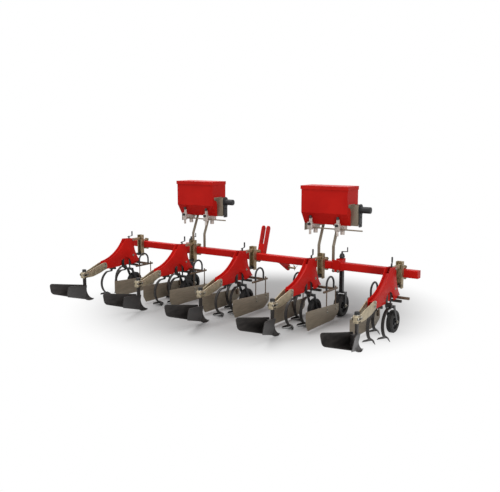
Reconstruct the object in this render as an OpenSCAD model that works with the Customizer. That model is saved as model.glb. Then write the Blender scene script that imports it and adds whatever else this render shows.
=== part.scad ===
// Five-unit inter-row ridger for a three-point hitch.
// Millimetres. X runs along the toolbar, Y points to the tractor, Z is up.
// Shapes are drawn with the toolbar's centre at y = 0 and moved to the
// middle of the machine's length at the end.

/* [Toolbar] */
// length of the toolbar
bar_len = 3960; // [3800:10:4400]
// outside of the square tube
bar_size = 80; // [70:1:90]
// wall of the square tube
bar_wall = 8; // [5:0.5:12]
// corner radius of the square tube
bar_corner = 8; // [3:1:12]
// height of the tube's centre above the floor
bar_z = 580; // [570:1:600]

/* [Hitch] */
// height of the top link bore above the floor
mast_z = 886; // [870:1:910]
// how far the top link bore lies in front of the toolbar's centre
mast_y = 209; // [195:1:212]
// clear gap between the two uprights
mast_gap = 52; // [45:1:60]
// thickness of an upright
mast_thick = 15; // [10:1:20]
// half of an upright's width
mast_half = 36; // [30:1:38]
// radius of the top link bore
mast_bore = 9.75; // [9.6:0.05:9.9]
// distance between the shoulders of the lower pins
pin_span = 683; // [660:1:700]
// radius of a lower pin
pin_r = 11; // [10:0.1:12]
// free length of a lower pin
pin_len = 82; // [75:1:95]
// place of the lower pins in front of the toolbar's centre
pin_y = 178; // [160:1:190]
// height of the lower pins
pin_z = 456; // [445:1:470]
// thickness of a lower hitch plate
ear_thick = 16; // [12:1:20]

/* [Units] */
// distance between neighbouring units
unit_pitch = 900; // [860:5:920]
// clear gap between the side plates of a unit
frame_gap = 48; // [44:1:56]
// thickness of a side plate
frame_thick = 6; // [4:1:8]
// height of the upper link pins
link_up_z = 662; // [655:1:668]
// height of the lower link pins
link_low_z = 462; // [455:1:470]
// distance between the two pins of a link
link_len = 170; // [160:1:175]
// distance of the front link pins behind the toolbar's face
link_off = 30; // [28:1:36]
// radius of the link pins
link_pin = 8; // [6:0.5:9]
// running clearance at pins and axles
pin_clear = 0.3; // [0.2:0.05:0.5]
// clearance between a link and the plates beside it
side_clear = 5; // [5:0.5:7]

/* [Ridger] */
// place of the wings' rear ends behind the toolbar's centre
wing_end = 1430; // [1400:5:1460]
// height of a wing at its rear end
wing_height = 122; // [100:1:140]
// thickness of a wing
wing_thick = 6; // [4:0.5:8]
// sweep of a wing at the breast, in degrees
wing_sweep = 18; // [14:0.5:22]
// outward lean of a wing, in degrees
wing_lean = 8; // [4:0.5:12]
// depth of the shank bar
shank_size = 36; // [30:1:40]

/* [Tines] */
// width of a tine
tine_width = 32; // [26:1:36]
// thickness of a tine
tine_thick = 11; // [8:0.5:14]
// bend radius of a tine, at its middle
tine_bend = 165; // [155:1:175]
// width across a goosefoot share
share_width = 120; // [100:1:140]

/* [Shields] */
// place of the shields beside a unit's centre
shield_x = 207; // [195:1:215]
// length of a shield
shield_len = 590; // [540:5:610]
// height of a shield
shield_height = 175; // [150:1:190]
// thickness of a shield
shield_thick = 4; // [2:0.5:6]

/* [Wheels] */
// radius of a unit wheel
unit_wheel_r = 115; // [110:1:118]
// width of a unit wheel
unit_wheel_w = 64; // [56:1:70]
// radius of a support wheel
support_wheel_r = 122; // [115:1:126]
// width of a support wheel
support_wheel_w = 84; // [70:1:92]
// place of the support wheels beside the middle
support_x = 1070; // [1062:1:1080]
// place of the support legs in front of the toolbar's centre
support_y = 100; // [96:1:108]
// side of a support leg
leg_size = 40; // [36:1:44]
// radius of a wheel axle
axle_r = 9; // [8:0.5:10]

/* [Hoppers] */
// place of the hoppers beside the middle
hopper_x = 900; // [890:1:910]
// outside width of a hopper
hopper_width = 562; // [540:1:580]
// outside depth of a hopper
hopper_depth = 255; // [245:1:265]
// middle of the hopper in front of the toolbar's centre
hopper_y = 103.5; // [100:0.5:108]
// height of the hopper's rim
hopper_top = 1430; // [1410:1:1445]
// height where the vertical walls end
hopper_bend = 1140; // [1130:1:1150]
// height of the trough's bottom
hopper_low = 1010; // [1005:1:1015]
// depth of the trough's bottom
hopper_floor = 92; // [88:1:100]
// sheet thickness of a hopper
hopper_wall = 4; // [3:0.5:5]
// sheet thickness of a lid
lid_wall = 3; // [2:0.5:4]
// height of a lid's skirt
lid_skirt = 40; // [30:1:50]
// clearance between a lid and the hopper's walls
lid_clear = 5; // [5:0.5:6]
// half of the distance between a hopper's posts
post_x = 90; // [82:1:100]
// width of a post
post_width = 30; // [24:1:34]
// thickness of a post
post_thick = 12; // [8:1:14]

/* [Hidden] */
$fn = 48;
joint = 1;
deep = 2000;
bar_half = bar_size / 2;
bar_top = bar_z + bar_half;
bar_low = bar_z - bar_half;
unit_xs = [for (i = [-2:2]) i * unit_pitch];
frame_half = frame_gap / 2 + frame_thick;
link_half = frame_gap / 2 - side_clear;
link_front = -bar_half - link_off;
link_rear = link_front - link_len;
frame_top = 690;
frame_low = 350;
hub_r = 20;
lid_rest = 0.3;
lid_low = hopper_top + lid_rest;
hopper_front = hopper_y + hopper_depth / 2;
hopper_rear = hopper_y - hopper_depth / 2;
hinge_r = 8;
hinge_pin = 4;
hinge_y = hopper_front + 12;
hinge_z = hopper_top - 6;
front_end = hinge_y + hinge_r;
origin_y = (wing_end - front_end) / 2;

// Colours of the finishes
red = [0.62, 0.05, 0.05];
zinc = [0.45, 0.40, 0.33];
black = [0.05, 0.05, 0.055];
olive = [0.36, 0.34, 0.28];
grey = [0.62, 0.62, 0.60];

// Drawing helpers

// rectangle with round corners, centred
module round_rect(w, h, r) {
    square([w - 2 * r, h], center = true);
    square([w, h - 2 * r], center = true);
    for (sx = [-1, 1], sy = [-1, 1])
        translate([sx * (w / 2 - r), sy * (h / 2 - r)]) circle(r);
}

// a side view drawn in (y, z), given the thickness and middle along x
module side(thick, x = 0) {
    translate([x - thick / 2, 0, 0])
        rotate([90, 0, 90]) linear_extrude(height = thick) children();
}

// a straight bar in a side view, from one point to another
module bar2d(a, b, wide, ends = true) {
    d = b - a;
    translate(a) rotate(atan2(d[1], d[0])) translate([0, -wide / 2])
        square([norm(d), wide]);
    if (ends) {
        translate(a) circle(wide / 2);
        translate(b) circle(wide / 2);
    }
}

// a round bar along x
module rod_x(r, x0, x1, y, z) {
    translate([x0, y, z]) rotate([0, 90, 0]) cylinder(r = r, h = x1 - x0);
}

// a block given by its two corners
module block(a, b) {
    translate(a) cube(b - a);
}

module place() {
    translate([0, origin_y, 0]) children();
}

// Toolbar and hitch

module toolbar() {
    color(red) place() difference() {
        side(bar_len) translate([0, bar_z]) round_rect(bar_size, bar_size, bar_corner);
        side(bar_len - 2 * bar_wall) translate([0, bar_z])
            square(bar_size - 2 * bar_wall, center = true);
    }
}

// an upright leans forward from its foot on the front of the toolbar
mast_foot = [bar_half + mast_half + 45, bar_z + 22];
mast_lean = atan2(mast_y - mast_foot[0], mast_z - mast_foot[1]);
mast_across = [cos(mast_lean), -sin(mast_lean)];
mast_along = [sin(mast_lean), cos(mast_lean)];

module mast_profile() {
    top = [mast_y, mast_z];
    half = 0.97 * mast_half * mast_across;
    difference() {
        union() {
            polygon([[bar_half, bar_low + bar_corner], [bar_half, bar_top - bar_corner],
                mast_foot - half, top - half, top + half, mast_foot + half,
                [mast_foot[0], bar_low + bar_corner]]);
            translate(top) circle(mast_half);
        }
        translate(top) circle(mast_bore);
    }
}

// plate between the two uprights, along their rear edges
module mast_plate() {
    low = mast_foot - 0.97 * mast_half * mast_across;
    high = low + 110 * mast_along;
    thick = 12 * mast_across;
    polygon([low, high, high + thick, low + thick]);
}

module ear_profile() {
    difference() {
        union() {
            polygon([[-24, bar_low], [pin_y - 22, pin_z - 28], [pin_y + 30, pin_z + 18],
                [bar_half + 46, bar_top - 10], [bar_half, bar_top - 10], [bar_half, bar_low]]);
            translate([pin_y, pin_z]) circle(36);
        }
        translate([pin_y, pin_z]) circle(pin_r + pin_clear);
    }
}

module hitch_frame() {
    mast_x = mast_gap / 2 + mast_thick / 2;
    ear_x = pin_span / 2 - ear_thick / 2;
    color(red) place() {
        for (s = [-1, 1]) side(mast_thick, s * mast_x) mast_profile();
        side(mast_gap + joint) mast_plate();
        for (s = [-1, 1]) side(ear_thick, s * ear_x) ear_profile();
    }
}

module hitch_pins() {
    color(zinc) place() for (s = [-1, 1]) {
        shoulder = s * pin_span / 2;
        x0 = min(shoulder, shoulder + s * (pin_len + 10));
        rod_x(pin_r, min(shoulder - s * (ear_thick + 20), shoulder + s * (pin_len + 10)),
            max(shoulder - s * (ear_thick + 20), shoulder + s * (pin_len + 10)), pin_y, pin_z);
        rod_x(20, min(shoulder, shoulder + s * 10), max(shoulder, shoulder + s * 10), pin_y, pin_z);
        nut = shoulder - s * ear_thick;
        rod_x(18, min(nut, nut - s * 14), max(nut, nut - s * 14), pin_y, pin_z);
    }
}

// Unit clamps with the front link pins

clamp_low = link_low_z - 30;
clamp_high = link_up_z + 46;

module unit_clamp() {
    cheek = 10;
    half = frame_gap / 2 + cheek;
    front_half = mast_gap / 2 - 2;
    plate = 12;
    difference() {
        union() {
            block([-half, -bar_half - plate, clamp_low], [half, -bar_half, clamp_high]);
            block([-front_half, bar_half, bar_low - 32], [front_half, bar_half + plate, bar_top + 32]);
            for (s = [-1, 1])
                side(cheek, s * (half - cheek / 2)) {
                    translate([link_front - 22, clamp_low])
                        square([-bar_half - joint - link_front + 22, clamp_high - clamp_low]);
                }
            for (s = [-1, 1], z = [bar_low - 16, bar_top + 16])
                translate([s * (front_half - 10), -bar_half - plate - 12, z])
                    rotate([-90, 0, 0]) cylinder(r = 7, h = bar_size + 2 * plate + 24);
        }
    }
    for (z = [link_low_z, link_up_z])
        rod_x(link_pin, -half - 8, half + 8, link_front, z);
}

module unit_clamps() {
    color(zinc) place() for (x = unit_xs) translate([x, 0, 0]) unit_clamp();
}

// Links

module link_profile(z, r) {
    difference() {
        union() {
            translate([link_rear, z - r * 0.8]) square([link_len, r * 1.6]);
            for (y = [link_front, link_rear]) translate([y, z]) circle(r);
        }
        for (y = [link_front, link_rear]) translate([y, z]) circle(link_pin + pin_clear);
    }
}

module upper_link(i) {
    color(zinc) place() translate([unit_xs[i - 1], 0, 0])
        side(2 * link_half) link_profile(link_up_z, 18);
}

module lower_link(i) {
    color(black) place() translate([unit_xs[i - 1], 0, 0])
        side(2 * link_half) link_profile(link_low_z, 14);
}

// Red frame of a unit

arch_y = -375;
arch_r = 100;
cross_y = -165;
cross_size = 25;
cross_top = 372;
// depth wheel: axle, spindle and fork crown
wheel_y = -200;
stem_y = -280;
stem_r = 9;
crown_z = 285;
guide_zs = [540, 620];

module frame_outline() {
    difference() {
        polygon([[-229, frame_top - 10], [-361, frame_top], [-702, 437], [-752, frame_low],
            [-124, frame_low], [-124, 366], [-170, 600], [-226, 600]]);
        translate([-1173, 1418]) circle(r = 1090, $fn = 200);
        translate([111, 608]) circle(r = 337, $fn = 200);
        translate([arch_y, frame_low]) circle(arch_r);
        translate([cross_y - cross_size / 2 - 6, frame_low - 10])
            square([200, cross_top - frame_low + 10]);
    }
}

module unit_frame(i) {
    strip = 8;
    color(red) place() translate([unit_xs[i - 1], 0, 0]) {
        difference() {
            side(2 * frame_half) frame_outline();
            side(frame_gap) difference() {
                translate([-900, 200]) square([900, 600]);
                intersection() {
                    frame_outline();
                    difference() {
                        translate([-1173, 1418]) circle(r = 1090 + strip, $fn = 200);
                        translate([-1300, 675]) square([1300, 100]);
                    }
                }
            }
        }
        for (z = [link_low_z, link_up_z])
            rod_x(link_pin, -frame_half - 8, frame_half + 8, link_rear, z);
        for (y = [-560, -680]) rod_x(10, -frame_half, frame_half, y, 400);
        // guide of the depth wheel's spindle
        difference() {
            block([-frame_gap / 2 - joint, stem_y - 17, guide_zs[0]], [frame_gap / 2 + joint, stem_y + 17, guide_zs[1]]);
            translate([0, stem_y, guide_zs[0] - joint])
                cylinder(r = stem_r + pin_clear, h = guide_zs[1] - guide_zs[0] + 2 * joint);
        }
    }
}

// Rear arms with the shank clamp, front cross bar, carriers, rods and hoops

arm_thick = 8;
shank_y = -1052;
clamp_top = 372;
carrier_z = 350;
hoop_y = -225;
hoop_r = 80;
rod_ys = [-100, -300];

module arm_profile() {
    polygon([[-610, 478], [-640, 492], [-701, 470], [-1036, 352], [-1036, 288], [-932, 284],
        [-783, 332], [-700, 360]]);
    translate([-632, 450]) circle(40);
}

module shield_carrier(s) {
    x = s * (shield_x - 7);
    block([x - 10, -365, carrier_z - 10], [x + 10, -65, carrier_z + 10]);
    for (y = rod_ys) {
        translate([x, y, 120]) cylinder(r = 6, h = carrier_z - 120);
        block([x - 7, y - 10, 120], [x + 7, y + 10, 205]);
    }
    for (y = [hoop_y - hoop_r, hoop_y + hoop_r])
        translate([x, y, carrier_z]) cylinder(r = 9, h = 65);
    translate([x, hoop_y, carrier_z + 65]) rotate([90, 0, 90])
        rotate_extrude(angle = 180) translate([hoop_r, 0]) circle(9);
}

module tool_bars(i) {
    inner = i == 1 ? [1] : i == 5 ? [-1] : [-1, 1];
    color(zinc) place() translate([unit_xs[i - 1], 0, 0]) {
        difference() {
            union() {
                for (s = [-1, 1]) side(arm_thick, s * (frame_half + arm_thick / 2)) arm_profile();
                block([-frame_half - arm_thick, -1108, 286], [frame_half + arm_thick, -1000, clamp_top]);
            }
            block([-11, shank_y - shank_size / 2, 200], [11, shank_y + shank_size / 2, 500]);
        }
        block([-shield_x + 7, cross_y - cross_size / 2, cross_top - cross_size],
            [shield_x - 7, cross_y + cross_size / 2, cross_top]);
        for (s = inner) shield_carrier(s);
    }
}

// Ridging body

nose_y = -972;
wing_front = 45;
wing_rear_top = 262;

module wing_outline() {
    r = 32;
    low = wing_rear_top - wing_height;
    polygon([[nose_y + 30, wing_front], [-wing_end + r, low], [-wing_end, low + r],
        [-wing_end, wing_rear_top - r], [-wing_end + r, wing_rear_top], [nose_y + 30, 188]]);
    translate([-wing_end + r, low + r]) circle(r);
    translate([-wing_end + r, wing_rear_top - r]) circle(r);
}

module wing(s) {
    bend = 2300;
    intersection() {
        mirror([s < 0 ? 1 : 0, 0, 0])
            translate([0, nose_y, wing_front]) rotate([0, wing_lean, 0])
                translate([bend * cos(wing_sweep), bend * sin(wing_sweep), -100])
                    linear_extrude(height = 500) difference() {
                        circle(r = bend + wing_thick, $fn = 300);
                        circle(r = bend, $fn = 300);
                    }
        side(700, s * 350 - s * 0) wing_outline();
    }
}

module shank_profile() {
    r = 150;
    translate([shank_y - shank_size / 2, 150]) square([shank_size, 250]);
    // the foot bends forward to the point
    translate([shank_y - shank_size / 2 + r, 150]) intersection() {
        difference() {
            circle(r);
            circle(r - shank_size);
        }
        translate([-2 * r, -2 * r]) square([2 * r, 2 * r]);
    }
}

module share() {
    // point of the ridging body
    linear_extrude(height = 8) polygon([[0, 60], [62, -70], [40, -90], [0, -40], [-40, -90], [-62, -70]]);
}

module ridger(i) {
    color(black) place() translate([unit_xs[i - 1], 0, 0]) {
        difference() {
            union() {
                side(20) shank_profile();
                // breast between the wings
                translate([0, 0, 30]) linear_extrude(height = 160)
                    polygon([[0, nose_y + 8], [26, nose_y - 66], [-26, nose_y - 66]]);
                for (s = [-1, 1]) wing(s);
                translate([0, nose_y + 8, 22]) rotate([-14, 0, 0]) share();
                translate([0, shank_y, clamp_top]) cylinder(r = 17, h = 26);
            }
            translate([-500, -2000, -100]) cube([1000, 2000, 100]);
        }
    }
}

// Spring tines with goosefoot shares

bend_y = -604;
bend_z = 167;

module tine_profile(top_z) {
    // from its bar back, around the bend and forward to the share
    bar2d([-581, 300], [-581, top_z], tine_thick, false);
    bar2d([-581, 300], [-604 - 96, 300], tine_thick);
    intersection() {
        translate([bend_y, bend_z]) difference() {
            circle(tine_bend + tine_thick / 2);
            circle(tine_bend - tine_thick / 2);
        }
        translate([bend_y - 300, 25]) square([300, bend_z + 133 - 25 + 0.1]);
    }
}

module goosefoot() {
    half = share_width / 2;
    linear_extrude(height = 6)
        polygon([[0, 62], [half, -30], [half - 22, -46], [0, -4], [-half + 22, -46], [-half, -30]]);
}

module tine(x, dy, top_z) {
    translate([x, dy, 0]) {
        side(tine_width) tine_profile(top_z);
        translate([0, -694, 24]) rotate([-20, 0, 0]) goosefoot();
    }
}

module tines(i) {
    color(black) place() translate([unit_xs[i - 1], 0, 0]) {
        // rear tine under the frame
        tine(-30, 0, 330);
        block([-60, -594, 325], [40, -568, frame_low]);
        // middle tine on the right plate
        tine(52, 135, 340);
        block([frame_half, -466, 325], [frame_half + 16, -426, 470]);
        block([frame_half, -458, 325], [70, -434, 350]);
        // front tine at the left
        tine(-130, 340, 330);
        block([-160, -254, 325], [30, -228, frame_low]);
    }
}

// Side shields

module shield_profile() {
    r = 70;
    low = 20;
    front = -50;
    difference() {
        translate([front - shield_len, low]) square([shield_len, shield_height]);
        translate([front - r, low]) square([r + joint, r]);
    }
    translate([front - r, low + r]) circle(r);
}

module shields(i) {
    inner = i == 1 ? [1] : i == 5 ? [-1] : [-1, 1];
    color(olive) place() translate([unit_xs[i - 1], 0, 0])
        for (s = inner) side(shield_thick, s * (shield_x + shield_thick / 2)) shield_profile();
}

// Depth wheel of a unit

module wheel_fork(i) {
    inner = unit_wheel_w / 2 + 6;
    color(black) place() translate([unit_xs[i - 1], 0, 0]) {
        for (s = [-1, 1]) side(8, s * (inner + 4)) {
            bar2d([wheel_y, unit_wheel_r], [stem_y, crown_z], 34, false);
            translate([wheel_y, unit_wheel_r]) circle(20);
        }
        block([-inner - 9, stem_y - 21, crown_z - 10], [inner + 9, stem_y + 21, crown_z + 12]);
        rod_x(axle_r, -inner - joint, inner + joint, wheel_y, unit_wheel_r);
        translate([0, stem_y, crown_z]) cylinder(r = stem_r, h = 430);
        // crank
        translate([0, stem_y, crown_z + 420]) rotate([0, 0, 20]) {
            translate([-6, -40, 0]) cube([12, 143, 6]);
            translate([0, 95, 1]) cylinder(r = 5, h = 57);
        }
    }
}

// tyre section drawn as radius against width, turned about the axle
module wheel_section(r, w) {
    rib = 5;
    half = w / 2;
    polygon([[axle_r + pin_clear, -half + 4], [hub_r + 12, -half + 4], [hub_r + 16, -10],
        [r * 0.62, -10], [r * 0.66, -half + 2], [r - 16, -half], [r - 6, -half + 5],
        [r, -half + 14], [r, half - 14], [r - 6, half - 5], [r - 16, half],
        [r * 0.66, half - 2], [r * 0.62, 10], [hub_r + 16, 10], [hub_r + 12, half - 4],
        [axle_r + pin_clear, half - 4]]);
}

module wheel_ring(r, w) {
    groove = 6;
    difference() {
        rotate_extrude($fn = 96) wheel_section(r, w);
        for (z = [-w * 0.2, 0, w * 0.2])
            translate([0, 0, z - groove / 2]) difference() {
                cylinder(r = r + 5, h = groove, $fn = 96);
                cylinder(r = r - 8, h = groove, $fn = 96);
            }
    }
}

module unit_wheel(i) {
    color(black) place() translate([unit_xs[i - 1], wheel_y, unit_wheel_r])
        rotate([0, 90, 0]) wheel_ring(unit_wheel_r, unit_wheel_w);
}

// Support wheels with their legs, jacks and clamps

fork_half = support_wheel_w / 2 + 6 + 8;
fork_top = 2 * support_wheel_r + 30;
leg_top = bar_top + 42;

module wheel_clamp() {
    plate = 12;
    sleeve = leg_size + 20;
    back = support_y - sleeve / 2;
    half = sleeve / 2 + 10;
    difference() {
        union() {
            block([-half, -bar_half - plate, bar_low - 26], [half, -bar_half, bar_top + 26]);
            block([-half, bar_half, bar_low - 26], [half, back + joint, bar_top + 26]);
            block([-half, -bar_half - plate, bar_top], [half, back, bar_top + 14]);
            translate([0, support_y, bar_low - 26]) linear_extrude(height = bar_size + 52)
                round_rect(sleeve, sleeve, 6);
            for (s = [-1, 1])
                translate([s * (half - 12), -bar_half - plate - 10, bar_low - 13])
                    rotate([-90, 0, 0]) cylinder(r = 7, h = bar_size + plate + 20);
        }
        translate([0, support_y, bar_low - 30]) linear_extrude(height = bar_size + 60)
            square(leg_size + 2 * pin_clear, center = true);
    }
}

module wheel_clamps() {
    color(red) place() for (s = [-1, 1]) translate([s * support_x, 0, 0]) wheel_clamp();
}

module wheel_leg() {
    translate([0, support_y, fork_top - joint]) linear_extrude(height = leg_top - fork_top + joint)
        square(leg_size, center = true);
    translate([0, support_y, fork_top - 12]) linear_extrude(height = 12)
        square([2 * fork_half, 50], center = true);
    for (s = [-1, 1]) side(8, s * (fork_half - 4)) {
        translate([support_y - 22, support_wheel_r]) square([44, fork_top - support_wheel_r - joint]);
        translate([support_y, support_wheel_r]) circle(22);
    }
    rod_x(axle_r, -fork_half - 6, fork_half + 6, support_y, support_wheel_r);
    // jack and crank
    translate([0, support_y, leg_top]) {
        cylinder(r1 = 32, r2 = 22, h = 34);
        cylinder(r = 10, h = 60);
        translate([0, 0, 54]) rotate([0, 0, 30]) {
            translate([-6, -6, 0]) cube([70, 12, 8]);
            translate([58, 0, 0]) cylinder(r = 6, h = 52);
        }
    }
}

module wheel_legs() {
    color(black) place() for (s = [-1, 1]) translate([s * support_x, 0, 0]) wheel_leg();
}

module support_wheel(s) {
    color(black) place() translate([s * support_x, support_y, support_wheel_r])
        rotate([0, 90, 0]) wheel_ring(support_wheel_r, support_wheel_w);
}

module support_wheel_left() {
    support_wheel(-1);
}

module support_wheel_right() {
    support_wheel(1);
}

// Hoppers, lids and their posts

module trough(inset) {
    half = hopper_depth / 2 - inset;
    floor_half = hopper_floor / 2 - inset * 0.6;
    top = inset > 0 ? hopper_top + 50 : hopper_top;
    polygon([[hopper_y - half, top], [hopper_y - half, hopper_bend + inset * 0.35],
        [hopper_y - floor_half, hopper_low + inset], [hopper_y + floor_half, hopper_low + inset],
        [hopper_y + half, hopper_bend + inset * 0.35], [hopper_y + half, top]]);
}

hinge_xs = [-180, 180];
knuckle = 30;
knuckle_gap = 0.5;

module hopper() {
    difference() {
        side(hopper_width) trough(0);
        side(hopper_width - 2 * hopper_wall) trough(hopper_wall);
    }
    for (x = hinge_xs) {
        rod_x(hinge_pin, x - knuckle, x + knuckle, hinge_y, hinge_z);
        for (s = [-1, 1]) {
            x0 = x + s * (knuckle + knuckle_gap / 2 + 1) - knuckle / 2;
            rod_x(hinge_r, x0, x0 + knuckle, hinge_y, hinge_z);
            block([x0, hopper_front - joint, hinge_z - hinge_r - 12],
                [x0 + knuckle, hinge_y, hinge_z - hinge_r + 6]);
        }
    }
}

module hoppers() {
    color(red) place() for (s = [-1, 1]) translate([s * hopper_x, 0, 0]) hopper();
}

module lid(s) {
    over = lid_clear + lid_wall;
    x1 = hopper_width / 2 + over;
    y0 = hopper_rear - over;
    z1 = lid_low + lid_wall;
    color(red) place() translate([s * hopper_x, 0, 0]) {
        block([-x1, y0, lid_low], [x1, hopper_front, z1]);
        block([-x1, y0, z1 - lid_skirt], [x1, y0 + lid_wall, z1]);
        for (e = [-1, 1])
            block([min(e * x1, e * (x1 - lid_wall)), y0, z1 - lid_skirt],
                [max(e * x1, e * (x1 - lid_wall)), hopper_front, z1]);
        for (x = hinge_xs) difference() {
            union() {
                rod_x(hinge_r, x - knuckle / 2, x + knuckle / 2, hinge_y, hinge_z);
                block([x - knuckle / 2, hopper_front - 8, lid_low], [x + knuckle / 2, hinge_y, z1]);
            }
            rod_x(hinge_pin + pin_clear, x - knuckle, x + knuckle, hinge_y, hinge_z);
        }
    }
}

module lid_left() {
    lid(-1);
}

module lid_right() {
    lid(1);
}

module post_profile() {
    lean_low = 780;
    lean_y = 146;
    foot = hopper_low - post_thick;
    mid = bar_half + post_thick / 2;
    half = post_thick / 2;
    top = [lean_y, foot + half];
    lean = atan2(top[0] - mid, top[1] - lean_low);
    miter = half * tan(lean / 2);
    polygon([[bar_half, bar_low], [bar_half, lean_low + miter],
        top + half * [-cos(lean), sin(lean)], top + half * [cos(lean), -sin(lean)],
        [bar_half + post_thick, lean_low - miter], [bar_half + post_thick, bar_low]]);
    translate([hopper_y - hopper_floor / 2 + 4, foot])
        square([lean_y + 8 - hopper_y + hopper_floor / 2 - 4, post_thick]);
}

module hopper_posts() {
    color(zinc) place() for (s = [-1, 1], e = [-1, 1])
        translate([s * hopper_x + e * post_x, 0, 0]) side(post_width) post_profile();
}

// Metering gates, shutter rod and drive

module gate(x) {
    wide = 70;
    translate([x, 0, 0]) {
        block([-wide / 2, hopper_y - 40, 952], [wide / 2, hopper_y + 40, hopper_low]);
        difference() {
            translate([0, hopper_y, 906]) cylinder(r = 24, h = 50);
            translate([0, hopper_y, 905]) cylinder(r = 20, h = 40);
        }
        block([-18, -12, 962], [18, hopper_y - 39, 972]);
        block([-18, -12, 962], [18, -7, 1082]);
    }
}

module metering_gates() {
    color(grey) place() for (s = [-1, 1]) translate([s * hopper_x, 0, 0]) {
        for (x = [-167, 167]) gate(x);
        rod_x(5, -200, 440, 12, 972);
    }
}

bracket_out = 90;

module drive_brackets() {
    end = hopper_width / 2;
    color(zinc) place() for (s = [-1, 1]) translate([s * hopper_x, 0, 0]) {
        block([end, hopper_y - 86, hopper_low + 4], [end + 4, hopper_y + 86, 1244]);
        for (e = [-1, 1])
            block([end, hopper_y + e * 84 - 2, hopper_low + 4], [end + bracket_out, hopper_y + e * 84 + 2, 1244]);
        block([-end - 4, hopper_y - 44, 930], [-end, hopper_y + 44, 1080]);
        rod_x(24, -end - 24, -end - 3, hopper_y, 1046);
    }
}

module drive_motors() {
    start = hopper_width / 2 + bracket_out;
    motor_z = 1186;
    color(black) place() for (s = [-1, 1]) translate([s * hopper_x, 0, 0]) {
        block([start, hopper_y - 100, 1000], [start + 9, hopper_y + 100, 1248]);
        rod_x(42, start + 8, start + 20, hopper_y, motor_z);
        rod_x(35, start + 8, start + 122, hopper_y, motor_z);
        rod_x(10, hopper_width / 2 + 4, start + 1, hopper_y, motor_z);
    }
}

toolbar();
hitch_frame();
hitch_pins();
unit_clamps();
hopper_posts();
hoppers();
metering_gates();
drive_brackets();
drive_motors();
wheel_clamps();
wheel_legs();
lid_left();
lid_right();
support_wheel_left();
support_wheel_right();
for (i = [1:5]) {
    upper_link(i);
    lower_link(i);
    unit_frame(i);
    tool_bars(i);
    ridger(i);
    tines(i);
    shields(i);
    wheel_fork(i);
    unit_wheel(i);
}
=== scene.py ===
"""Unit forms, finishes, fasteners, small fittings and studio of a five-unit ridger."""

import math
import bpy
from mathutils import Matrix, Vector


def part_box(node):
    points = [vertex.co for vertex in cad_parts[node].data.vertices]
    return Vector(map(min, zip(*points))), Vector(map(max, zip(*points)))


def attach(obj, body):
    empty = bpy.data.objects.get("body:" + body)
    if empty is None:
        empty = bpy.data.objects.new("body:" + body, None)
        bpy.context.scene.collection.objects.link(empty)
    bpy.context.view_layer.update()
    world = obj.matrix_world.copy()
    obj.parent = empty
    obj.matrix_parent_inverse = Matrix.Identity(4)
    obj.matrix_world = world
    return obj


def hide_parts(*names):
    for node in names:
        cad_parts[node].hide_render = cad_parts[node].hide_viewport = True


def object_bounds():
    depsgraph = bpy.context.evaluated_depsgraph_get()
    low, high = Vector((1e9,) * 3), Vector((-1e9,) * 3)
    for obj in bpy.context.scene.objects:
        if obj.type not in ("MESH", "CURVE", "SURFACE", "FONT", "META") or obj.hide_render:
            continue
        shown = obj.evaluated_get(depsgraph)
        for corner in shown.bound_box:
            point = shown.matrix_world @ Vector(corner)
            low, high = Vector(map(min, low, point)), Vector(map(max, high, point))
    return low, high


bl_info = {
    "name": "Ridger Finish",
    "version": (1, 0, 0),
    "blender": (4, 5, 0),
    "location": "View3D > Sidebar > Ridger",
    "description": "Shapes the units, paints the ridger, fits its small parts and sets the studio",
    "category": "Object",
}

import bmesh
import bpy
from bpy.props import FloatProperty, FloatVectorProperty, PointerProperty, StringProperty
from bpy.types import Operator, Panel, PropertyGroup
from mathutils import Matrix, Vector

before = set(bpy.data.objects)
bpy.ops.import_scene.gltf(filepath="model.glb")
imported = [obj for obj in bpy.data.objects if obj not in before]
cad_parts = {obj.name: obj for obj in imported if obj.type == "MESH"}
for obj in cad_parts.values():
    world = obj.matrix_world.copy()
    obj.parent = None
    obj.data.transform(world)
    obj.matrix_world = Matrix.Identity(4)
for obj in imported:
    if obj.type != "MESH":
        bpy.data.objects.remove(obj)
cad_low, cad_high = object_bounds()

UNITS = (1, 2, 3, 4, 5)
SIDES = (-1, 1)

# Places taken from the solids. Other places give y from the toolbar's centre line and z from the floor.
bar_low, bar_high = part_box("toolbar")
bar_middle = (bar_low + bar_high) / 2
bar_half = (bar_high.z - bar_low.z) / 2


def at(x, y, z):
    """A point with y measured from the toolbar's centre line, forwards."""
    return Vector((x, bar_middle.y + y, z))


def middle(node):
    """Middle of a solid's box."""
    low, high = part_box(node)
    return (low + high) / 2


unit_x = {unit: middle(f"unit_frame_{unit}").x for unit in UNITS}

# Measures that several pieces of a unit share, with x from the unit's middle
PLATE_INNER = 0.024
PLATE_OUTER = 0.030
ARM_OUTER = 0.038
FRONT_PIN_Y = -0.070
REAR_PIN_Y = -0.240
PIN_HEIGHTS = (0.462, 0.662)
SHANK_Y = -1.040
CLAMP_OUTER = 0.026
CLAMP_TOP = 0.358
SHIELD_INNER = 0.207
SHIELD_OUTER = 0.211
ROD_X = 0.200
RODS_Y = (-0.100, -0.300)

# Directions in which fasteners and turned parts stand
UP = (0, 0, 1)
FORWARD = (0, 1, 0)
BACKWARD = (0, -1, 0)
RIGHT = (1, 0, 0)


def unit_place(unit):
    """Point of the floor plane under the toolbar's centre line, in the middle of a unit."""
    return at(unit_x[unit], 0, 0)


def shielded(unit):
    """Sides of a unit that carry a shield: the outer sides of the outer units have none."""
    bare = {UNITS[0]: -1, UNITS[-1]: 1}
    return [side for side in SIDES if side != bare.get(unit)]


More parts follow.
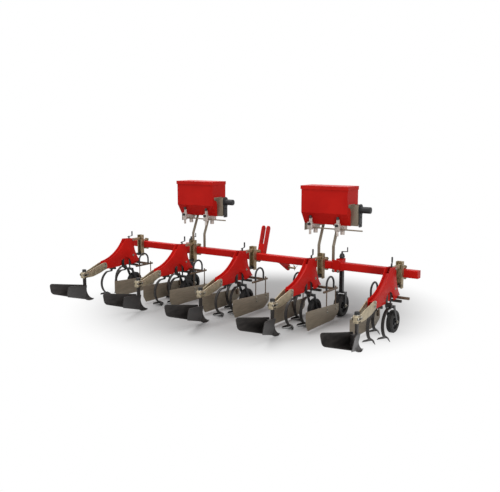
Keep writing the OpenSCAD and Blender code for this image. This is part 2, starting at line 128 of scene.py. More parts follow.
class RidgerColours(PropertyGroup):
    """Colours of the finishes, as sRGB hex values."""

    red: StringProperty(name="Red", description="Powder coat in the light", default="#CA1F18")
    red_deep: StringProperty(name="Deep red", description="Darker cloud in the coat", default="#BC1914")
    zinc: StringProperty(name="Zinc", description="Passivated zinc, its main tone", default="#A79676")
    zinc_dark: StringProperty(name="Zinc, dark", description="Darker cloud of the zinc", default="#7C6D54")
    black: StringProperty(name="Black", description="Satin enamel", default="#161618")
    wing: StringProperty(name="Wing steel", description="Tempered steel of the ridgers", default="#1F1C1B")
    wing_pale: StringProperty(name="Worn wing", description="Rubbed tempered steel", default="#322E2C")
    arm: StringProperty(name="Arms", description="Zinc of the rear arms", default="#B5A990")
    arm_dark: StringProperty(name="Arms, dark", description="Its darker cloud", default="#A1957D")
    carrier: StringProperty(name="Carriers", description="Browned zinc of the carriers", default="#6E5C4B")
    sheet: StringProperty(name="Shield", description="Dull sheet steel", default="#8C8170")
    sheet_dark: StringProperty(name="Shield, dark", description="Its darker cloud", default="#7C7262")
    rubber: StringProperty(name="Rubber", description="Tyre rubber", default="#1A1A1B")
    rubber_dust: StringProperty(name="Dust", description="Dry bloom on the rubber", default="#2B2927")
    alloy: StringProperty(name="Alloy", description="Plain cast alloy", default="#D3C9C1")
    nut: StringProperty(name="Nuts", description="Bright zinc of nuts and bolts", default="#A8A59C")
    plastic: StringProperty(name="Plastic", description="Moulded black plastic", default="#111214")
    # painted shadow: this grey of the floor round the machine stands in for the machine's shadow, and fades
    # to white further off
    floor: StringProperty(name="Floor", description="Studio floor", default="#B0B0B0")


class RidgerSizes(PropertyGroup):
    """Sizes of the fittings that are added to the solids."""

    clamp_nut: FloatProperty(
        name="Clamp nut", description="Width across the flats", default=0.018, unit="LENGTH")
    arm_nut: FloatProperty(
        name="Arm bolt", description="Width across the flats", default=0.019, unit="LENGTH")
    small_nut: FloatProperty(
        name="Small bolt", description="Width across the flats", default=0.015, unit="LENGTH")
    bead: FloatProperty(
        name="Weld bead", description="Radius of a weld bead", default=0.0045, unit="LENGTH")
    linch_pin: FloatProperty(
        name="Linch pin", description="Length of a linch pin", default=0.052, unit="LENGTH")
    knob: FloatProperty(
        name="Knob", description="Radius of the knob on a shank", default=0.0245, unit="LENGTH")
    washer: FloatProperty(
        name="Washer", description="Radius of a washer on a link pin", default=0.0135, unit="LENGTH")
    disc_bolt: FloatProperty(
        name="Disc bolt", description="Width across the flats", default=0.013, unit="LENGTH")
    grip: FloatProperty(
        name="Grip", description="Radius of a crank's grip", default=0.0085, unit="LENGTH")
    edge: FloatProperty(
        name="Edge", description="Radius of the softened edges", default=0.0016, unit="LENGTH")


class RidgerStudio(PropertyGroup):
    """Camera and lights."""

    lens: FloatProperty(name="Lens", description="Focal length in millimetres", default=46.8)
    place: FloatVectorProperty(
        name="Camera", description="Place of the camera", default=(4.238, -5.6495, 1.832),
        subtype="TRANSLATION")
    tilt: FloatProperty(
        name="Tilt", description="Downward tilt of the camera", default=math.radians(8.52), unit="ROTATION")
    heading: FloatProperty(
        name="Heading", description="Turn of the camera", default=math.radians(34.73), unit="ROTATION")
    # reach of the painted shadow, the floor's grey round the machine
    shade: FloatProperty(
        name="Shade", description="How far the floor's grey reaches", default=2.1, unit="LENGTH")
    sky: FloatProperty(name="Sky", description="Strength of the light from all round", default=0.44)
    key: FloatProperty(name="Key", description="Power of the large lamp", default=330.0, unit="POWER")
    fill: FloatProperty(name="Fill", description="Power of the side lamp", default=680.0, unit="POWER")


# Modelling helpers

def deselect():
    """Leaves edit mode with nothing selected."""
    if bpy.context.mode != "OBJECT":
        bpy.ops.object.mode_set(mode="OBJECT")
    bpy.ops.object.select_all(action="DESELECT")


def activate(piece):
    """Selects one piece alone and makes it the active one."""
    deselect()
    piece.select_set(True)
    bpy.context.view_layer.objects.active = piece


def pick_faces(piece, wanted):
    """Selects in edit mode the faces whose centre and normal pass the test."""
    bpy.ops.object.mode_set(mode="EDIT")
    bpy.ops.mesh.select_mode(type="FACE")
    bpy.ops.mesh.select_all(action="DESELECT")
    bpy.ops.object.mode_set(mode="OBJECT")
    for face in piece.data.polygons:
        face.select = wanted(face.center, face.normal)
    bpy.ops.object.mode_set(mode="EDIT")


def turned_bar(radius, length, sides, chamfer):
    """A round or many-sided bar that stands on the floor plane, its top edge broken."""
    deselect()
    bpy.ops.mesh.primitive_cylinder_add(
        vertices=sides, radius=radius, depth=length, location=(0, 0, length / 2))
    bar = bpy.context.object
    bpy.ops.object.transform_apply(location=True, rotation=True, scale=True)
    pick_faces(bar, lambda centre, normal: normal.z > 0.9)
    bpy.ops.mesh.bevel(offset=chamfer, segments=2, affect="EDGES")
    bpy.ops.object.mode_set(mode="OBJECT")
    return bar


def shift(piece, z):
    """Moves a piece's mesh up or down."""
    piece.data.transform(Matrix.Translation((0, 0, z)))
    return piece


def join(pieces, name):
    """Joins meshes into one piece of that name at the origin."""
    deselect()
    for piece in pieces:
        piece.select_set(True)
    bpy.context.view_layer.objects.active = pieces[0]
    if len(pieces) > 1:
        bpy.ops.object.join()
    piece = bpy.context.view_layer.objects.active
    piece.name = name
    piece.data.name = name
    return piece


def copied(pattern, change):
    """A copy of a pattern with its own mesh, which a matrix moves or turns."""
    copy = pattern.copy()
    copy.data = pattern.data.copy()
    copy.data.transform(change)
    bpy.context.scene.collection.objects.link(copy)
    return copy


def copies(pattern, places, name):
    """Copies a pattern that stands on +Z to each place and direction, and joins the copies."""
    made = []
    for point, direction in places:
        turn = Vector(direction).to_track_quat("Z", "Y").to_matrix().to_4x4()
        made.append(copied(pattern, Matrix.Translation(point) @ turn))
    return join(made, name)


def moved(pattern, place, name):
    """A copy of a pattern at a place."""
    copy = copied(pattern, Matrix.Translation(place))
    copy.name = name
    copy.data.name = name
    return copy


def mirrored(piece):
    """A copy of a piece on the other side of the unit's middle."""
    copy = copied(piece, Matrix.Scale(-1, 4, Vector((1, 0, 0))))
    copy.data.flip_normals()
    return copy


def discard(*patterns):
    """Takes patterns out of the scene once their copies are placed."""
    for pattern in patterns:
        bpy.data.objects.remove(pattern, do_unlink=True)


def dress(piece, coat, body):
    """Gives a finished piece smooth shading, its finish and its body."""
    activate(piece)
    bpy.ops.object.shade_smooth_by_angle(angle=math.radians(35))
    piece.data.materials.clear()
    piece.data.materials.append(finish(coat))
    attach(piece, body)
    return piece


def on_units(pattern, name, coat, node=None):
    """Puts a copy of a pattern on every unit, instead of a solid where one is named."""
    for unit in UNITS:
        piece = moved(pattern, unit_place(unit), f"{name}_{unit}")
        dress(piece, coat, f"unit_{unit}")
        if node:
            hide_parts(f"{node}_{unit}")
    discard(pattern)


def hex_nut(width):
    """A nut on its washer with the end of the bolt through it."""
    washer = turned_bar(width * 0.92, width * 0.12, 24, width * 0.03)
    nut = shift(turned_bar(width / math.sqrt(3), width * 0.52, 6, width * 0.06), width * 0.12)
    end = shift(turned_bar(width * 0.3, width * 0.2, 16, width * 0.05), width * 0.62)
    return join([washer, nut, end], "nut_pattern")


def hex_bolt(width):
    """A bolt's head on its washer, dished in its middle."""
    washer = turned_bar(width * 0.88, width * 0.1, 24, width * 0.03)
    head = turned_bar(width / math.sqrt(3), width * 0.42, 6, width * 0.06)
    top = width * 0.41
    pick_faces(head, lambda centre, normal: normal.z > 0.9 and centre.z > top)
    bpy.ops.mesh.inset(thickness=width * 0.12, depth=-width * 0.04)
    bpy.ops.object.mode_set(mode="OBJECT")
    shift(head, width * 0.1)
    return join([washer, head], "bolt_pattern")


def as_object(mesh, name):
    """Puts a built mesh into the scene as an object."""
    data = bpy.data.meshes.new(name)
    mesh.to_mesh(data)
    mesh.free()
    piece = bpy.data.objects.new(name, data)
    bpy.context.scene.collection.objects.link(piece)
    return piece


def arc(centre, radius, first, last, steps):
    """Points of an arc between two angles in degrees."""
    turns = [math.radians(first + (last - first) * step / steps) for step in range(steps + 1)]
    return [(centre[0] + radius * math.cos(t), centre[1] + radius * math.sin(t)) for t in turns]


def short_way(start, end):
    """First angle and swing in degrees of the shorter turn from one direction to another."""
    first = math.degrees(math.atan2(start[1], start[0]))
    swing = math.degrees(math.atan2(end[1], end[0])) - first
    return first, (swing + 180) % 360 - 180


def arc_through(first, second, third, steps, grow=0.0):
    """Points of the arc through three points, drawn with its radius made larger by grow."""
    (ax, ay), (bx, by), (cx, cy) = first, second, third
    twice = 2 * (ax * (by - cy) + bx * (cy - ay) + cx * (ay - by))
    a, b, c = ax * ax + ay * ay, bx * bx + by * by, cx * cx + cy * cy
    x = (a * (by - cy) + b * (cy - ay) + c * (ay - by)) / twice
    y = (a * (cx - bx) + b * (ax - cx) + c * (bx - ax)) / twice
    start, swing = short_way((ax - x, ay - y), (cx - x, cy - y))
    return arc((x, y), math.hypot(ax - x, ay - y) + grow, start, start + swing, steps)


def rounded(corners, steps=6):
    """An outline whose corners, given as u, v and radius, are drawn round."""
    points = []
    for i, (u, v, radius) in enumerate(corners):
        here = Vector((u, v))
        if radius == 0:
            points.append((u, v))
            continue
        before = (Vector(corners[i - 1][:2]) - here).normalized()
        after = (Vector(corners[(i + 1) % len(corners)][:2]) - here).normalized()
        half = before.angle(after) / 2
        centre = here + (before + after).normalized() * (radius / math.sin(half))
        start = here + before * (radius / math.tan(half)) - centre
        end = here + after * (radius / math.tan(half)) - centre
        first, swing = short_way(start, end)
        points += arc(centre, radius, first, first + swing, steps)
    return points


def ribbon(path, thick):
    """Outline of a flat bar that follows a path of points."""
    left = []
    right = []
    for i, here in enumerate(path):
        ahead = Vector(path[min(i + 1, len(path) - 1)]) - Vector(here)
        back = Vector(here) - Vector(path[max(i - 1, 0)])
        ahead = ahead.normalized() if ahead.length else back.normalized()
        back = back.normalized() if back.length else ahead
        along = (ahead + back).normalized()
        reach = thick / 2 / max(along.dot(ahead), 0.5)
        across = Vector((-along.y, along.x)) * reach
        left.append(tuple(Vector(here) + across))
        right.append(tuple(Vector(here) - across))
    return left + right[::-1]


def extruded(outline, low, high, axis, edge):
    """A closed outline pulled along X or Z between two places, its sharp edges broken."""
    mesh = bmesh.new()
    if axis == "X":
        corners = [(low, u, v) for u, v in outline]
        way = Vector((high - low, 0, 0))
    else:
        corners = [(u, v, low) for u, v in outline]
        way = Vector((0, 0, high - low))
    face = mesh.faces.new([mesh.verts.new(corner) for corner in corners])
    made = bmesh.ops.extrude_face_region(mesh, geom=[face])["geom"]
    far = [part for part in made if isinstance(part, bmesh.types.BMVert)]
    bmesh.ops.translate(mesh, vec=way, verts=far)
    bmesh.ops.recalc_face_normals(mesh, faces=mesh.faces)
    sharp = [line for line in mesh.edges if line.calc_face_angle(0.0) > math.radians(40)]
    bmesh.ops.bevel(mesh, geom=sharp, offset=edge, segments=2, profile=0.5, affect="EDGES")
    return as_object(mesh, "form")


def block(low, high, edge=0.0015):
    """A bar between two corners with its edges broken."""
    outline = [(low[0], low[1]), (high[0], low[1]), (high[0], high[1]), (low[0], high[1])]
    return extruded(outline, low[2], high[2], "Z", edge)


def tube(points, radius):
    """A round bar that follows a path of points."""
    curve = bpy.data.curves.new("path", "CURVE")
    curve.dimensions = "3D"
    curve.bevel_depth = radius
    curve.bevel_resolution = 4
    curve.use_fill_caps = True
    line = curve.splines.new("POLY")
    line.points.add(len(points) - 1)
    for target, point in zip(line.points, points):
        target.co = (*point, 1.0)
    piece = bpy.data.objects.new("tube", curve)
    bpy.context.scene.collection.objects.link(piece)
    activate(piece)
    bpy.ops.object.convert(target="MESH")
    return bpy.context.object


# Materials

def linear(colour):
    """Linear colour of an sRGB hex value."""
    values = [int(colour[i:i + 2], 16) / 255 for i in (1, 3, 5)]
    made = [v / 12.92 if v <= 0.04045 else ((v + 0.055) / 1.055) ** 2.4 for v in values]
    return (*made, 1.0)


def per_metre(size):
    """Texture scale of a pattern whose size is given in millimetres."""
    return 1000 / size


def set_inputs(tree, node, inputs):
    """Sets or links a node's inputs."""
    for name, value in inputs.items():
        if isinstance(value, bpy.types.NodeSocket):
            tree.links.new(value, node.inputs[name])
        else:
            node.inputs[name].default_value = value


def add_node(tree, kind, settings, inputs):
    """Adds a node, sets its fields, and sets or links its inputs."""
    node = tree.nodes.new(kind)
    for name, value in settings.items():
        setattr(node, name, value)
    set_inputs(tree, node, inputs)
    return node


def start_material(name):
    """An empty material with its shader, and the place on the piece in metres."""
    material = bpy.data.materials.new(name)
    material.use_nodes = True
    tree = material.node_tree
    tree.nodes.clear()
    shader = add_node(tree, "ShaderNodeBsdfPrincipled", {}, {})
    add_node(tree, "ShaderNodeOutputMaterial", {}, {"Surface": shader.outputs["BSDF"]})
    place = add_node(tree, "ShaderNodeTexCoord", {}, {}).outputs["Object"]
    return material, tree, shader, place


def soft_edges(tree, radius):
    """The normal with its edges rounded, and how near an edge a point lies, from 0 to 1."""
    soft = add_node(tree, "ShaderNodeBevel", {"samples": 4}, {"Radius": radius}).outputs["Normal"]
    flat = add_node(tree, "ShaderNodeNewGeometry", {}, {}).outputs["Normal"]
    along = add_node(tree, "ShaderNodeVectorMath", {"operation": "DOT_PRODUCT"}, {0: soft, 1: flat})
    near = add_node(tree, "ShaderNodeMapRange", {}, {
        "Value": along.outputs["Value"], "From Min": 1.0, "From Max": 0.85, "To Min": 0.0, "To Max": 1.0})
    return soft, near.outputs["Result"]


def clouds(tree, place, size, detail, tones, rough):
    """A colour and a roughness that vary in clouds of the given size in millimetres."""
    noise = add_node(tree, "ShaderNodeTexNoise", {}, {
        "Vector": place, "Scale": per_metre(size), "Detail": detail})
    spread = add_node(tree, "ShaderNodeMapRange", {}, {
        "Value": noise.outputs["Fac"], "From Min": 0.34, "From Max": 0.66})
    colour = add_node(tree, "ShaderNodeMix", {"data_type": "RGBA"}, {
        0: spread.outputs["Result"], 6: linear(tones[0]), 7: linear(tones[1])})
    dull = add_node(tree, "ShaderNodeMapRange", {}, {
        "Value": noise.outputs["Fac"], "To Min": rough[0], "To Max": rough[1]})
    return colour.outputs[2], dull.outputs["Result"]


def relief(tree, place, size, strength, detail=2.0, normal=None):
    """Fine bumps of the given size in millimetres, on top of a normal where one is given."""
    grain = add_node(tree, "ShaderNodeTexNoise", {}, {
        "Vector": place, "Scale": per_metre(size), "Detail": detail})
    inputs = {"Strength": strength, "Distance": 0.001, "Height": grain.outputs["Fac"]}
    if normal is not None:
        inputs["Normal"] = normal
    return add_node(tree, "ShaderNodeBump", {}, inputs).outputs["Normal"]


def worn(tree, colour, near, pale, share):
    """A colour that turns pale along the edges."""
    amount = add_node(tree, "ShaderNodeMapRange", {}, {"Value": near, "To Min": 0.0, "To Max": share})
    return add_node(tree, "ShaderNodeMix", {"data_type": "RGBA"}, {
        0: amount.outputs["Result"], 6: colour, 7: linear(pale)}).outputs[2]


def rubbed(name, edge, tones, cloud, pale, wear, rough, grain,
        metallic=0.0, specular=0.5, streak=1.0, rolled=False):
    """A finish in soft clouds with a fine grain, which turns pale where its edges are rubbed.

    cloud is the clouds' size in millimetres and their detail, and grain the bumps' size in millimetres and
    their strength. A streak below 1 draws the clouds out along the machine, and where the metal is rolled
    the bumps too.
    """
    material, tree, shader, place = start_material(name)
    soft, near = soft_edges(tree, edge)
    drawn = place
    if streak < 1.0:
        drawn = add_node(tree, "ShaderNodeMapping", {}, {
            "Vector": place, "Scale": (1.0, streak, 1.0)}).outputs["Vector"]
    tone, dull = clouds(tree, drawn, *cloud, tones, rough)
    set_inputs(tree, shader, {
        "Base Color": worn(tree, tone, near, pale, wear),
        "Metallic": metallic,
        "Roughness": dull,
        "Specular IOR Level": specular,
        "Normal": relief(tree, drawn if rolled else place, *grain, normal=soft)})
    return material


def red_powder_coat(colours, sizes):
    """Powder coat, sprayed and baked: an even red with low gloss, a slight orange peel and rubbed edges."""
    return rubbed(
        "red_powder_coat", sizes.edge * 1.5, (colours.red_deep, colours.red), cloud=(240, 3.0),
        pale="#D2463B", wear=0.35, rough=(0.34, 0.48), grain=(9, 0.10), specular=0.1)


def passivated_zinc(colours, sizes):
    """Zinc plate with a yellow passivation: brownish grey metal in soft clouds, satin where it is handled."""
    return rubbed(
        "passivated_zinc", sizes.edge, (colours.zinc_dark, colours.zinc), cloud=(34, 4.0),
        pale="#D0C6AE", wear=0.6, rough=(0.34, 0.52), grain=(5, 0.08), metallic=0.75)


def arm_zinc(colours, sizes):
    """Zinc of the rear arms: pale brownish grey in soft clouds, bright along the edges."""
    return rubbed(
        "arm_zinc", sizes.edge, (colours.arm_dark, colours.arm), cloud=(34, 4.0),
        pale="#D0C6AE", wear=0.6, rough=(0.34, 0.52), grain=(5, 0.08), metallic=0.75)


def browned_zinc(colours, sizes):
    """Zinc of the shields' carriers: browned and dull, paler where it is rubbed."""
    return rubbed(
        "browned_zinc", sizes.edge, ("#5A4A3C", colours.carrier), cloud=(28, 4.0),
        pale="#A39580", wear=0.5, rough=(0.36, 0.54), grain=(5, 0.08), metallic=0.6)


def black_enamel(colours, sizes):
    """Satin enamel on steel: near black, softly shining, with grey where edges are rubbed."""
    return rubbed(
        "black_enamel", sizes.edge, ("#0E0E10", colours.black), cloud=(60, 3.0),
        pale="#4A4846", wear=0.5, rough=(0.36, 0.52), grain=(6, 0.06))


def tempered_steel(colours, sizes):
    """Tempered and oiled steel: brown-black with a dull sheen, rubbed paler in streaks where earth slides."""
    return rubbed(
        "tempered_steel", sizes.edge, (colours.wing, colours.wing_pale), cloud=(30, 4.0),
        pale="#6B6560", wear=0.6, rough=(0.36, 0.50), grain=(7, 0.08), metallic=0.35, streak=0.12)


def dull_sheet_steel(colours, sizes):
    """Rolled sheet steel with a dull passivation: grey-brown, faintly streaked the way it was rolled."""
    return rubbed(
        "dull_sheet_steel", sizes.edge, (colours.sheet_dark, colours.sheet), cloud=(9, 3.0),
        pale="#98907F", wear=0.6, rough=(0.42, 0.58), grain=(6, 0.06), metallic=0.45,
        streak=0.08, rolled=True)


def cast_alloy(colours, sizes):
    """Sand-cast alloy, left plain: pale warm grey with a fine rough skin."""
    return rubbed(
        "cast_alloy", sizes.edge, ("#AFA59D", colours.alloy), cloud=(22, 4.0),
        pale="#D2CCC6", wear=0.5, rough=(0.45, 0.62), grain=(4, 0.15), metallic=0.4)


def bright_zinc(colours, sizes):
    """Blue-bright zinc plate of nuts and bolts: pale grey metal, lightly tarnished."""
    material, tree, shader, place = start_material("bright_zinc")
    tone, dull = clouds(tree, place, 12, 3.0, ("#857F74", colours.nut), (0.26, 0.42))
    set_inputs(tree, shader, {
        "Base Color": tone,
        "Metallic": 0.9,
        "Roughness": dull,
        "Normal": relief(tree, place, 3, 0.08)})
    return material


def moulded_plastic(colours, sizes):
    """Injection-moulded black plastic: matt, with a fine spark-eroded grain."""
    material, tree, shader, place = start_material("moulded_plastic")
    tone, dull = clouds(tree, place, 40, 2.0, ("#0B0C0D", colours.plastic), (0.44, 0.60))
    grain = add_node(tree, "ShaderNodeTexVoronoi", {}, {"Vector": place, "Scale": per_metre(2.5)})
    bump = add_node(tree, "ShaderNodeBump", {}, {
        "Strength": 0.1, "Distance": 0.0008, "Height": grain.outputs["Distance"]})
    set_inputs(tree, shader, {"Base Color": tone, "Roughness": dull, "Normal": bump.outputs["Normal"]})
    return material


def ribbed_wheel(colours, name, axle, rim):
    """Moulded rubber, matt black with a dry bloom, on a disc that is enamelled black inside the rim."""
    material, tree, shader, place = start_material(name)
    flat = add_node(tree, "ShaderNodeMapping", {}, {
        "Vector": place, "Location": (0.0, -axle.y, -axle.z), "Scale": (0.0, 1.0, 1.0)})
    reach = add_node(tree, "ShaderNodeVectorMath", {"operation": "LENGTH"}, {0: flat.outputs["Vector"]})
    disc = add_node(tree, "ShaderNodeMath", {"operation": "LESS_THAN"}, {
        0: reach.outputs["Value"], 1: rim}).outputs["Value"]
    tone, dull = clouds(tree, place, 45, 4.0, (colours.rubber, colours.rubber_dust), (0.70, 0.90))
    colour = add_node(tree, "ShaderNodeMix", {"data_type": "RGBA"}, {
        0: disc, 6: tone, 7: linear(colours.black)})
    shine = add_node(tree, "ShaderNodeMix", {"data_type": "FLOAT"}, {0: disc, 2: dull, 3: 0.42})
    set_inputs(tree, shader, {
        "Base Color": colour.outputs[2],
        "Roughness": shine.outputs[0],
        "Normal": relief(tree, place, 4, 0.12, detail=3.0)})
    return material


FINISHES = {
    "red": red_powder_coat,
    "zinc": passivated_zinc,
    "arm": arm_zinc,
    "carrier": browned_zinc,
    "black": black_enamel,
    "wing": tempered_steel,
    "sheet": dull_sheet_steel,
    "alloy": cast_alloy,
    "nut": bright_zinc,
    "plastic": moulded_plastic,
}
made_finishes = {}


def finish(name):
    """The material of that finish, made when it is first asked for."""
    if name not in made_finishes:
        scene = bpy.context.scene
        made_finishes[name] = FINISHES[name](scene.ridger_colours, scene.ridger_sizes)
    return made_finishes[name]


def paint(node, material):
    """Puts a material on every slot of a solid."""
    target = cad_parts[node]
    if not target.material_slots:
        raise RuntimeError(f"{node} has no material slot")
    for place in target.material_slots:
        place.material = material


class RIDGER_OT_paint(Operator):
    """Gives every solid the finish that the real piece has"""

    bl_idname = "ridger.paint"
    bl_label = "Paint the solids"

    # solids that belong to no unit, by their finish
    single = {
        "red": ("toolbar", "hitch_frame", "hoppers", "wheel_clamps", "lid_left", "lid_right"),
        "zinc": ("hitch_pins", "unit_clamps"),
        "sheet": ("hopper_posts", "drive_brackets"),
        "alloy": ("metering_gates",),
        "plastic": ("drive_motors",),
        "black": ("wheel_legs",),
    }
    # finish of each solid that every unit has
    per_unit = {
        "upper_link": "zinc", "lower_link": "black", "unit_frame": "red", "tool_bars": "arm",
        "ridger": "wing", "tines": "wing", "shields": "sheet", "wheel_fork": "black"}
    unit_rim = 0.074
    support_rim = 0.079

    def execute(self, context):
        colours = context.scene.ridger_colours
        for name, nodes in self.single.items():
            for node in nodes:
                paint(node, finish(name))
        for unit in UNITS:
            for node, name in self.per_unit.items():
                paint(f"{node}_{unit}", finish(name))
        tyre = ribbed_wheel(colours, "ribbed_unit_wheel", middle("unit_wheel_3"), self.unit_rim)
        for unit in UNITS:
            paint(f"unit_wheel_{unit}", tyre)
        tyre = ribbed_wheel(colours, "ribbed_support_wheel", middle("support_wheel_left"), self.support_rim)
        for side in ("left", "right"):
            paint(f"support_wheel_{side}", tyre)
        return {"FINISHED"}


class RIDGER_OT_frames(Operator):
    """Red frames: two curved side plates, a strip sunk between them, a web in the arch and a spindle guide"""

    bl_idname = "ridger.frames"
    bl_label = "Frames of the units"

    # y and z of the plate's corners, and of three points on the arcs of its rear and front edges
    heel = [(-0.762, 0.350), (-0.752, 0.446)]
    back = ((-0.748, 0.448), (-0.534, 0.526), (-0.372, 0.690))
    front = ((-0.224, 0.681), (-0.205, 0.523), (-0.108, 0.372))
    toe = [(-0.1835, 0.372), (-0.1835, 0.350)]
    arch = (-0.375, 0.350)
    arch_radius = 0.100
    web = [(-0.485, 0.350), (-0.300, 0.350), (-0.300, 0.610), (-0.400, 0.610), (-0.485, 0.500)]
    strip_depth = 0.030
    strip_top = 0.640
    strip_thick = 0.008
    inside = PLATE_INNER + 0.0005
    web_half = 0.003
    guide_low = (-0.297, 0.540)
    guide_high = (-0.263, 0.620)
    stays = ((-0.560, 0.400), (-0.680, 0.400))
    stay_half = 0.031
    stay_radius = 0.010
    pin_half = 0.038
    pin_radius = 0.008

    def execute(self, context):
        outline = self.heel + arc_through(*self.back, 28) + arc_through(*self.front, 24) + self.toe
        outline += arc(self.arch, self.arch_radius, 0, 180, 32)
        plate = extruded(outline, PLATE_INNER, PLATE_OUTER, "X", 0.0015)
        sunk = arc_through(*self.back, 28, self.strip_depth)
        strip = ribbon([point for point in sunk if point[1] < self.strip_top], self.strip_thick)
        parts = [plate, mirrored(plate), extruded(strip, -self.inside, self.inside, "X", 0.001)]
        parts.append(extruded(self.web, -self.web_half, self.web_half, "X", 0.001))
        parts.append(block((-self.inside, *self.guide_low), (self.inside, *self.guide_high), 0.002))
        for y, z in self.stays:
            parts.append(tube([(-self.stay_half, y, z), (self.stay_half, y, z)], self.stay_radius))
        on_units(join(parts, "frame_pattern"), "side_plates", "red", "unit_frame")
        pins = []
        for z in PIN_HEIGHTS:
            ends = [(side * self.pin_half, REAR_PIN_Y, z) for side in SIDES]
            pins.append(tube(ends, self.pin_radius))
        on_units(join(pins, "pin_pattern"), "frame_pins", "nut")
        return {"FINISHED"}


class RIDGER_OT_arms(Operator):
    """Cranked rear arms with the shank clamp, the shields' carriers and their hoops"""

    bl_idname = "ridger.arms"
    bl_label = "Arms and carriers"

    # side view of an arm: y and z of its corners with their radii
    profile = [(-1.060, 0.352, 0), (-1.009, 0.356, 0.02), (-0.770, 0.434, 0.02), (-0.703, 0.440, 0.038),
        (-0.703, 0.352, 0.038), (-0.750, 0.342, 0.02), (-0.809, 0.320, 0.05), (-0.924, 0.288, 0.05),
        (-1.060, 0.288, 0)]
    bend_front = -0.800
    bend_rear = -0.930
    crank = 0.012
    clamp_low = 0.288
    clamp_half_length = 0.041
    clamp_corner = 0.014
    band_lows = (0.300, 0.334)
    band_height = 0.014
    # how far the cross bar reaches on a side without a shield
    open_reach = 0.150
    # y and z of opposite corners of the cross bar and of a carrier's bar
    cross_low = (-0.1775, 0.347)
    cross_high = (-0.1525, 0.372)
    carrier_low = (-0.365, 0.340)
    carrier_high = (-0.065, 0.360)
    carrier_half = 0.010
    # lower and upper end of a shield's rod, of the foot on the shield and of the stud above the bar
    rod_ends = (0.125, 0.345)
    rod_radius = 0.006
    foot_ends = (0.120, 0.190)
    foot_half_x = 0.007
    foot_half_y = 0.010
    stud_ends = (0.358, 0.378)
    stud_radius = 0.008
    hoop_middle = (-0.225, 0.415)
    hoop_radius = 0.080
    hoop_foot = 0.352
    hoop_bar = 0.0105

    def execute(self, context):
        on_units(self.arms(), "rear_arms", "arm", "tool_bars")
        carrier, hoop = self.carrier()
        for unit in UNITS:
            body = f"unit_{unit}"
            place = unit_place(unit)
            reach = {side: ROD_X if side in shielded(unit) else self.open_reach for side in SIDES}
            cross = block((-reach[-1], *self.cross_low), (reach[1], *self.cross_high))
            cross.data.transform(Matrix.Translation(place))
            bars = [cross] + [moved(carrier[side], place, "bar") for side in shielded(unit)]
            hoops = [moved(hoop[side], place, "hoop") for side in shielded(unit)]
            dress(join(bars, f"carriers_{unit}"), "carrier", body)
            dress(join(hoops, f"hoops_{unit}"), "black", body)
        discard(*carrier.values(), *hoop.values())
        return {"FINISHED"}

    def arms(self):
        """Both arms of a unit and the clamp of the shank."""
        arm = extruded(rounded(self.profile), PLATE_OUTER, ARM_OUTER, "X", 0.0015)
        mesh = bmesh.new()
        mesh.from_mesh(arm.data)
        for y in (self.bend_front, self.bend_rear):
            cut = mesh.verts[:] + mesh.edges[:] + mesh.faces[:]
            bmesh.ops.bisect_plane(mesh, geom=cut, plane_co=(0, y, 0), plane_no=(0, 1, 0))
        for corner in mesh.verts:
            share = (self.bend_front - corner.co.y) / (self.bend_front - self.bend_rear)
            corner.co.x -= self.crank * min(max(share, 0.0), 1.0)
        mesh.to_mesh(arm.data)
        mesh.free()
        rear = SHANK_Y - self.clamp_half_length
        front = SHANK_Y + self.clamp_half_length
        corners = ((-CLAMP_OUTER, rear), (CLAMP_OUTER, rear), (CLAMP_OUTER, front), (-CLAMP_OUTER, front))
        outline = rounded([(u, v, self.clamp_corner) for u, v in corners])
        clamp = extruded(outline, self.clamp_low, CLAMP_TOP, "Z", 0.002)
        wider = [(u * 1.09, SHANK_Y + (v - SHANK_Y) * 1.06) for u, v in outline]
        bands = [extruded(wider, z, z + self.band_height, "Z", 0.002) for z in self.band_lows]
        return join([arm, mirrored(arm), clamp, *bands], "arms_pattern")

    def carrier(self):
        """Carrier of the right shield with its rods, and its hoop, with their mirror pictures."""
        left = ROD_X - self.carrier_half
        right = ROD_X + self.carrier_half
        parts = [block((left, *self.carrier_low), (right, *self.carrier_high))]
        left = ROD_X - self.foot_half_x
        right = ROD_X + self.foot_half_x
        bottom, top = self.foot_ends
        for y in RODS_Y:
            parts.append(tube([(ROD_X, y, z) for z in self.rod_ends], self.rod_radius))
            parts.append(block((left, y - self.foot_half_y, bottom), (right, y + self.foot_half_y, top)))
            parts.append(tube([(ROD_X, y, z) for z in self.stud_ends], self.stud_radius))
        carrier = join(parts, "carrier_pattern")
        rear = self.hoop_middle[0] - self.hoop_radius
        front = self.hoop_middle[0] + self.hoop_radius
        bow = [(rear, self.hoop_foot)] + arc(self.hoop_middle, self.hoop_radius, 180, 0, 24)
        bow.append((front, self.hoop_foot))
        hoop = tube([(ROD_X, y, z) for y, z in bow], self.hoop_bar)
        return {1: carrier, -1: mirrored(carrier)}, {1: hoop, -1: mirrored(hoop)}


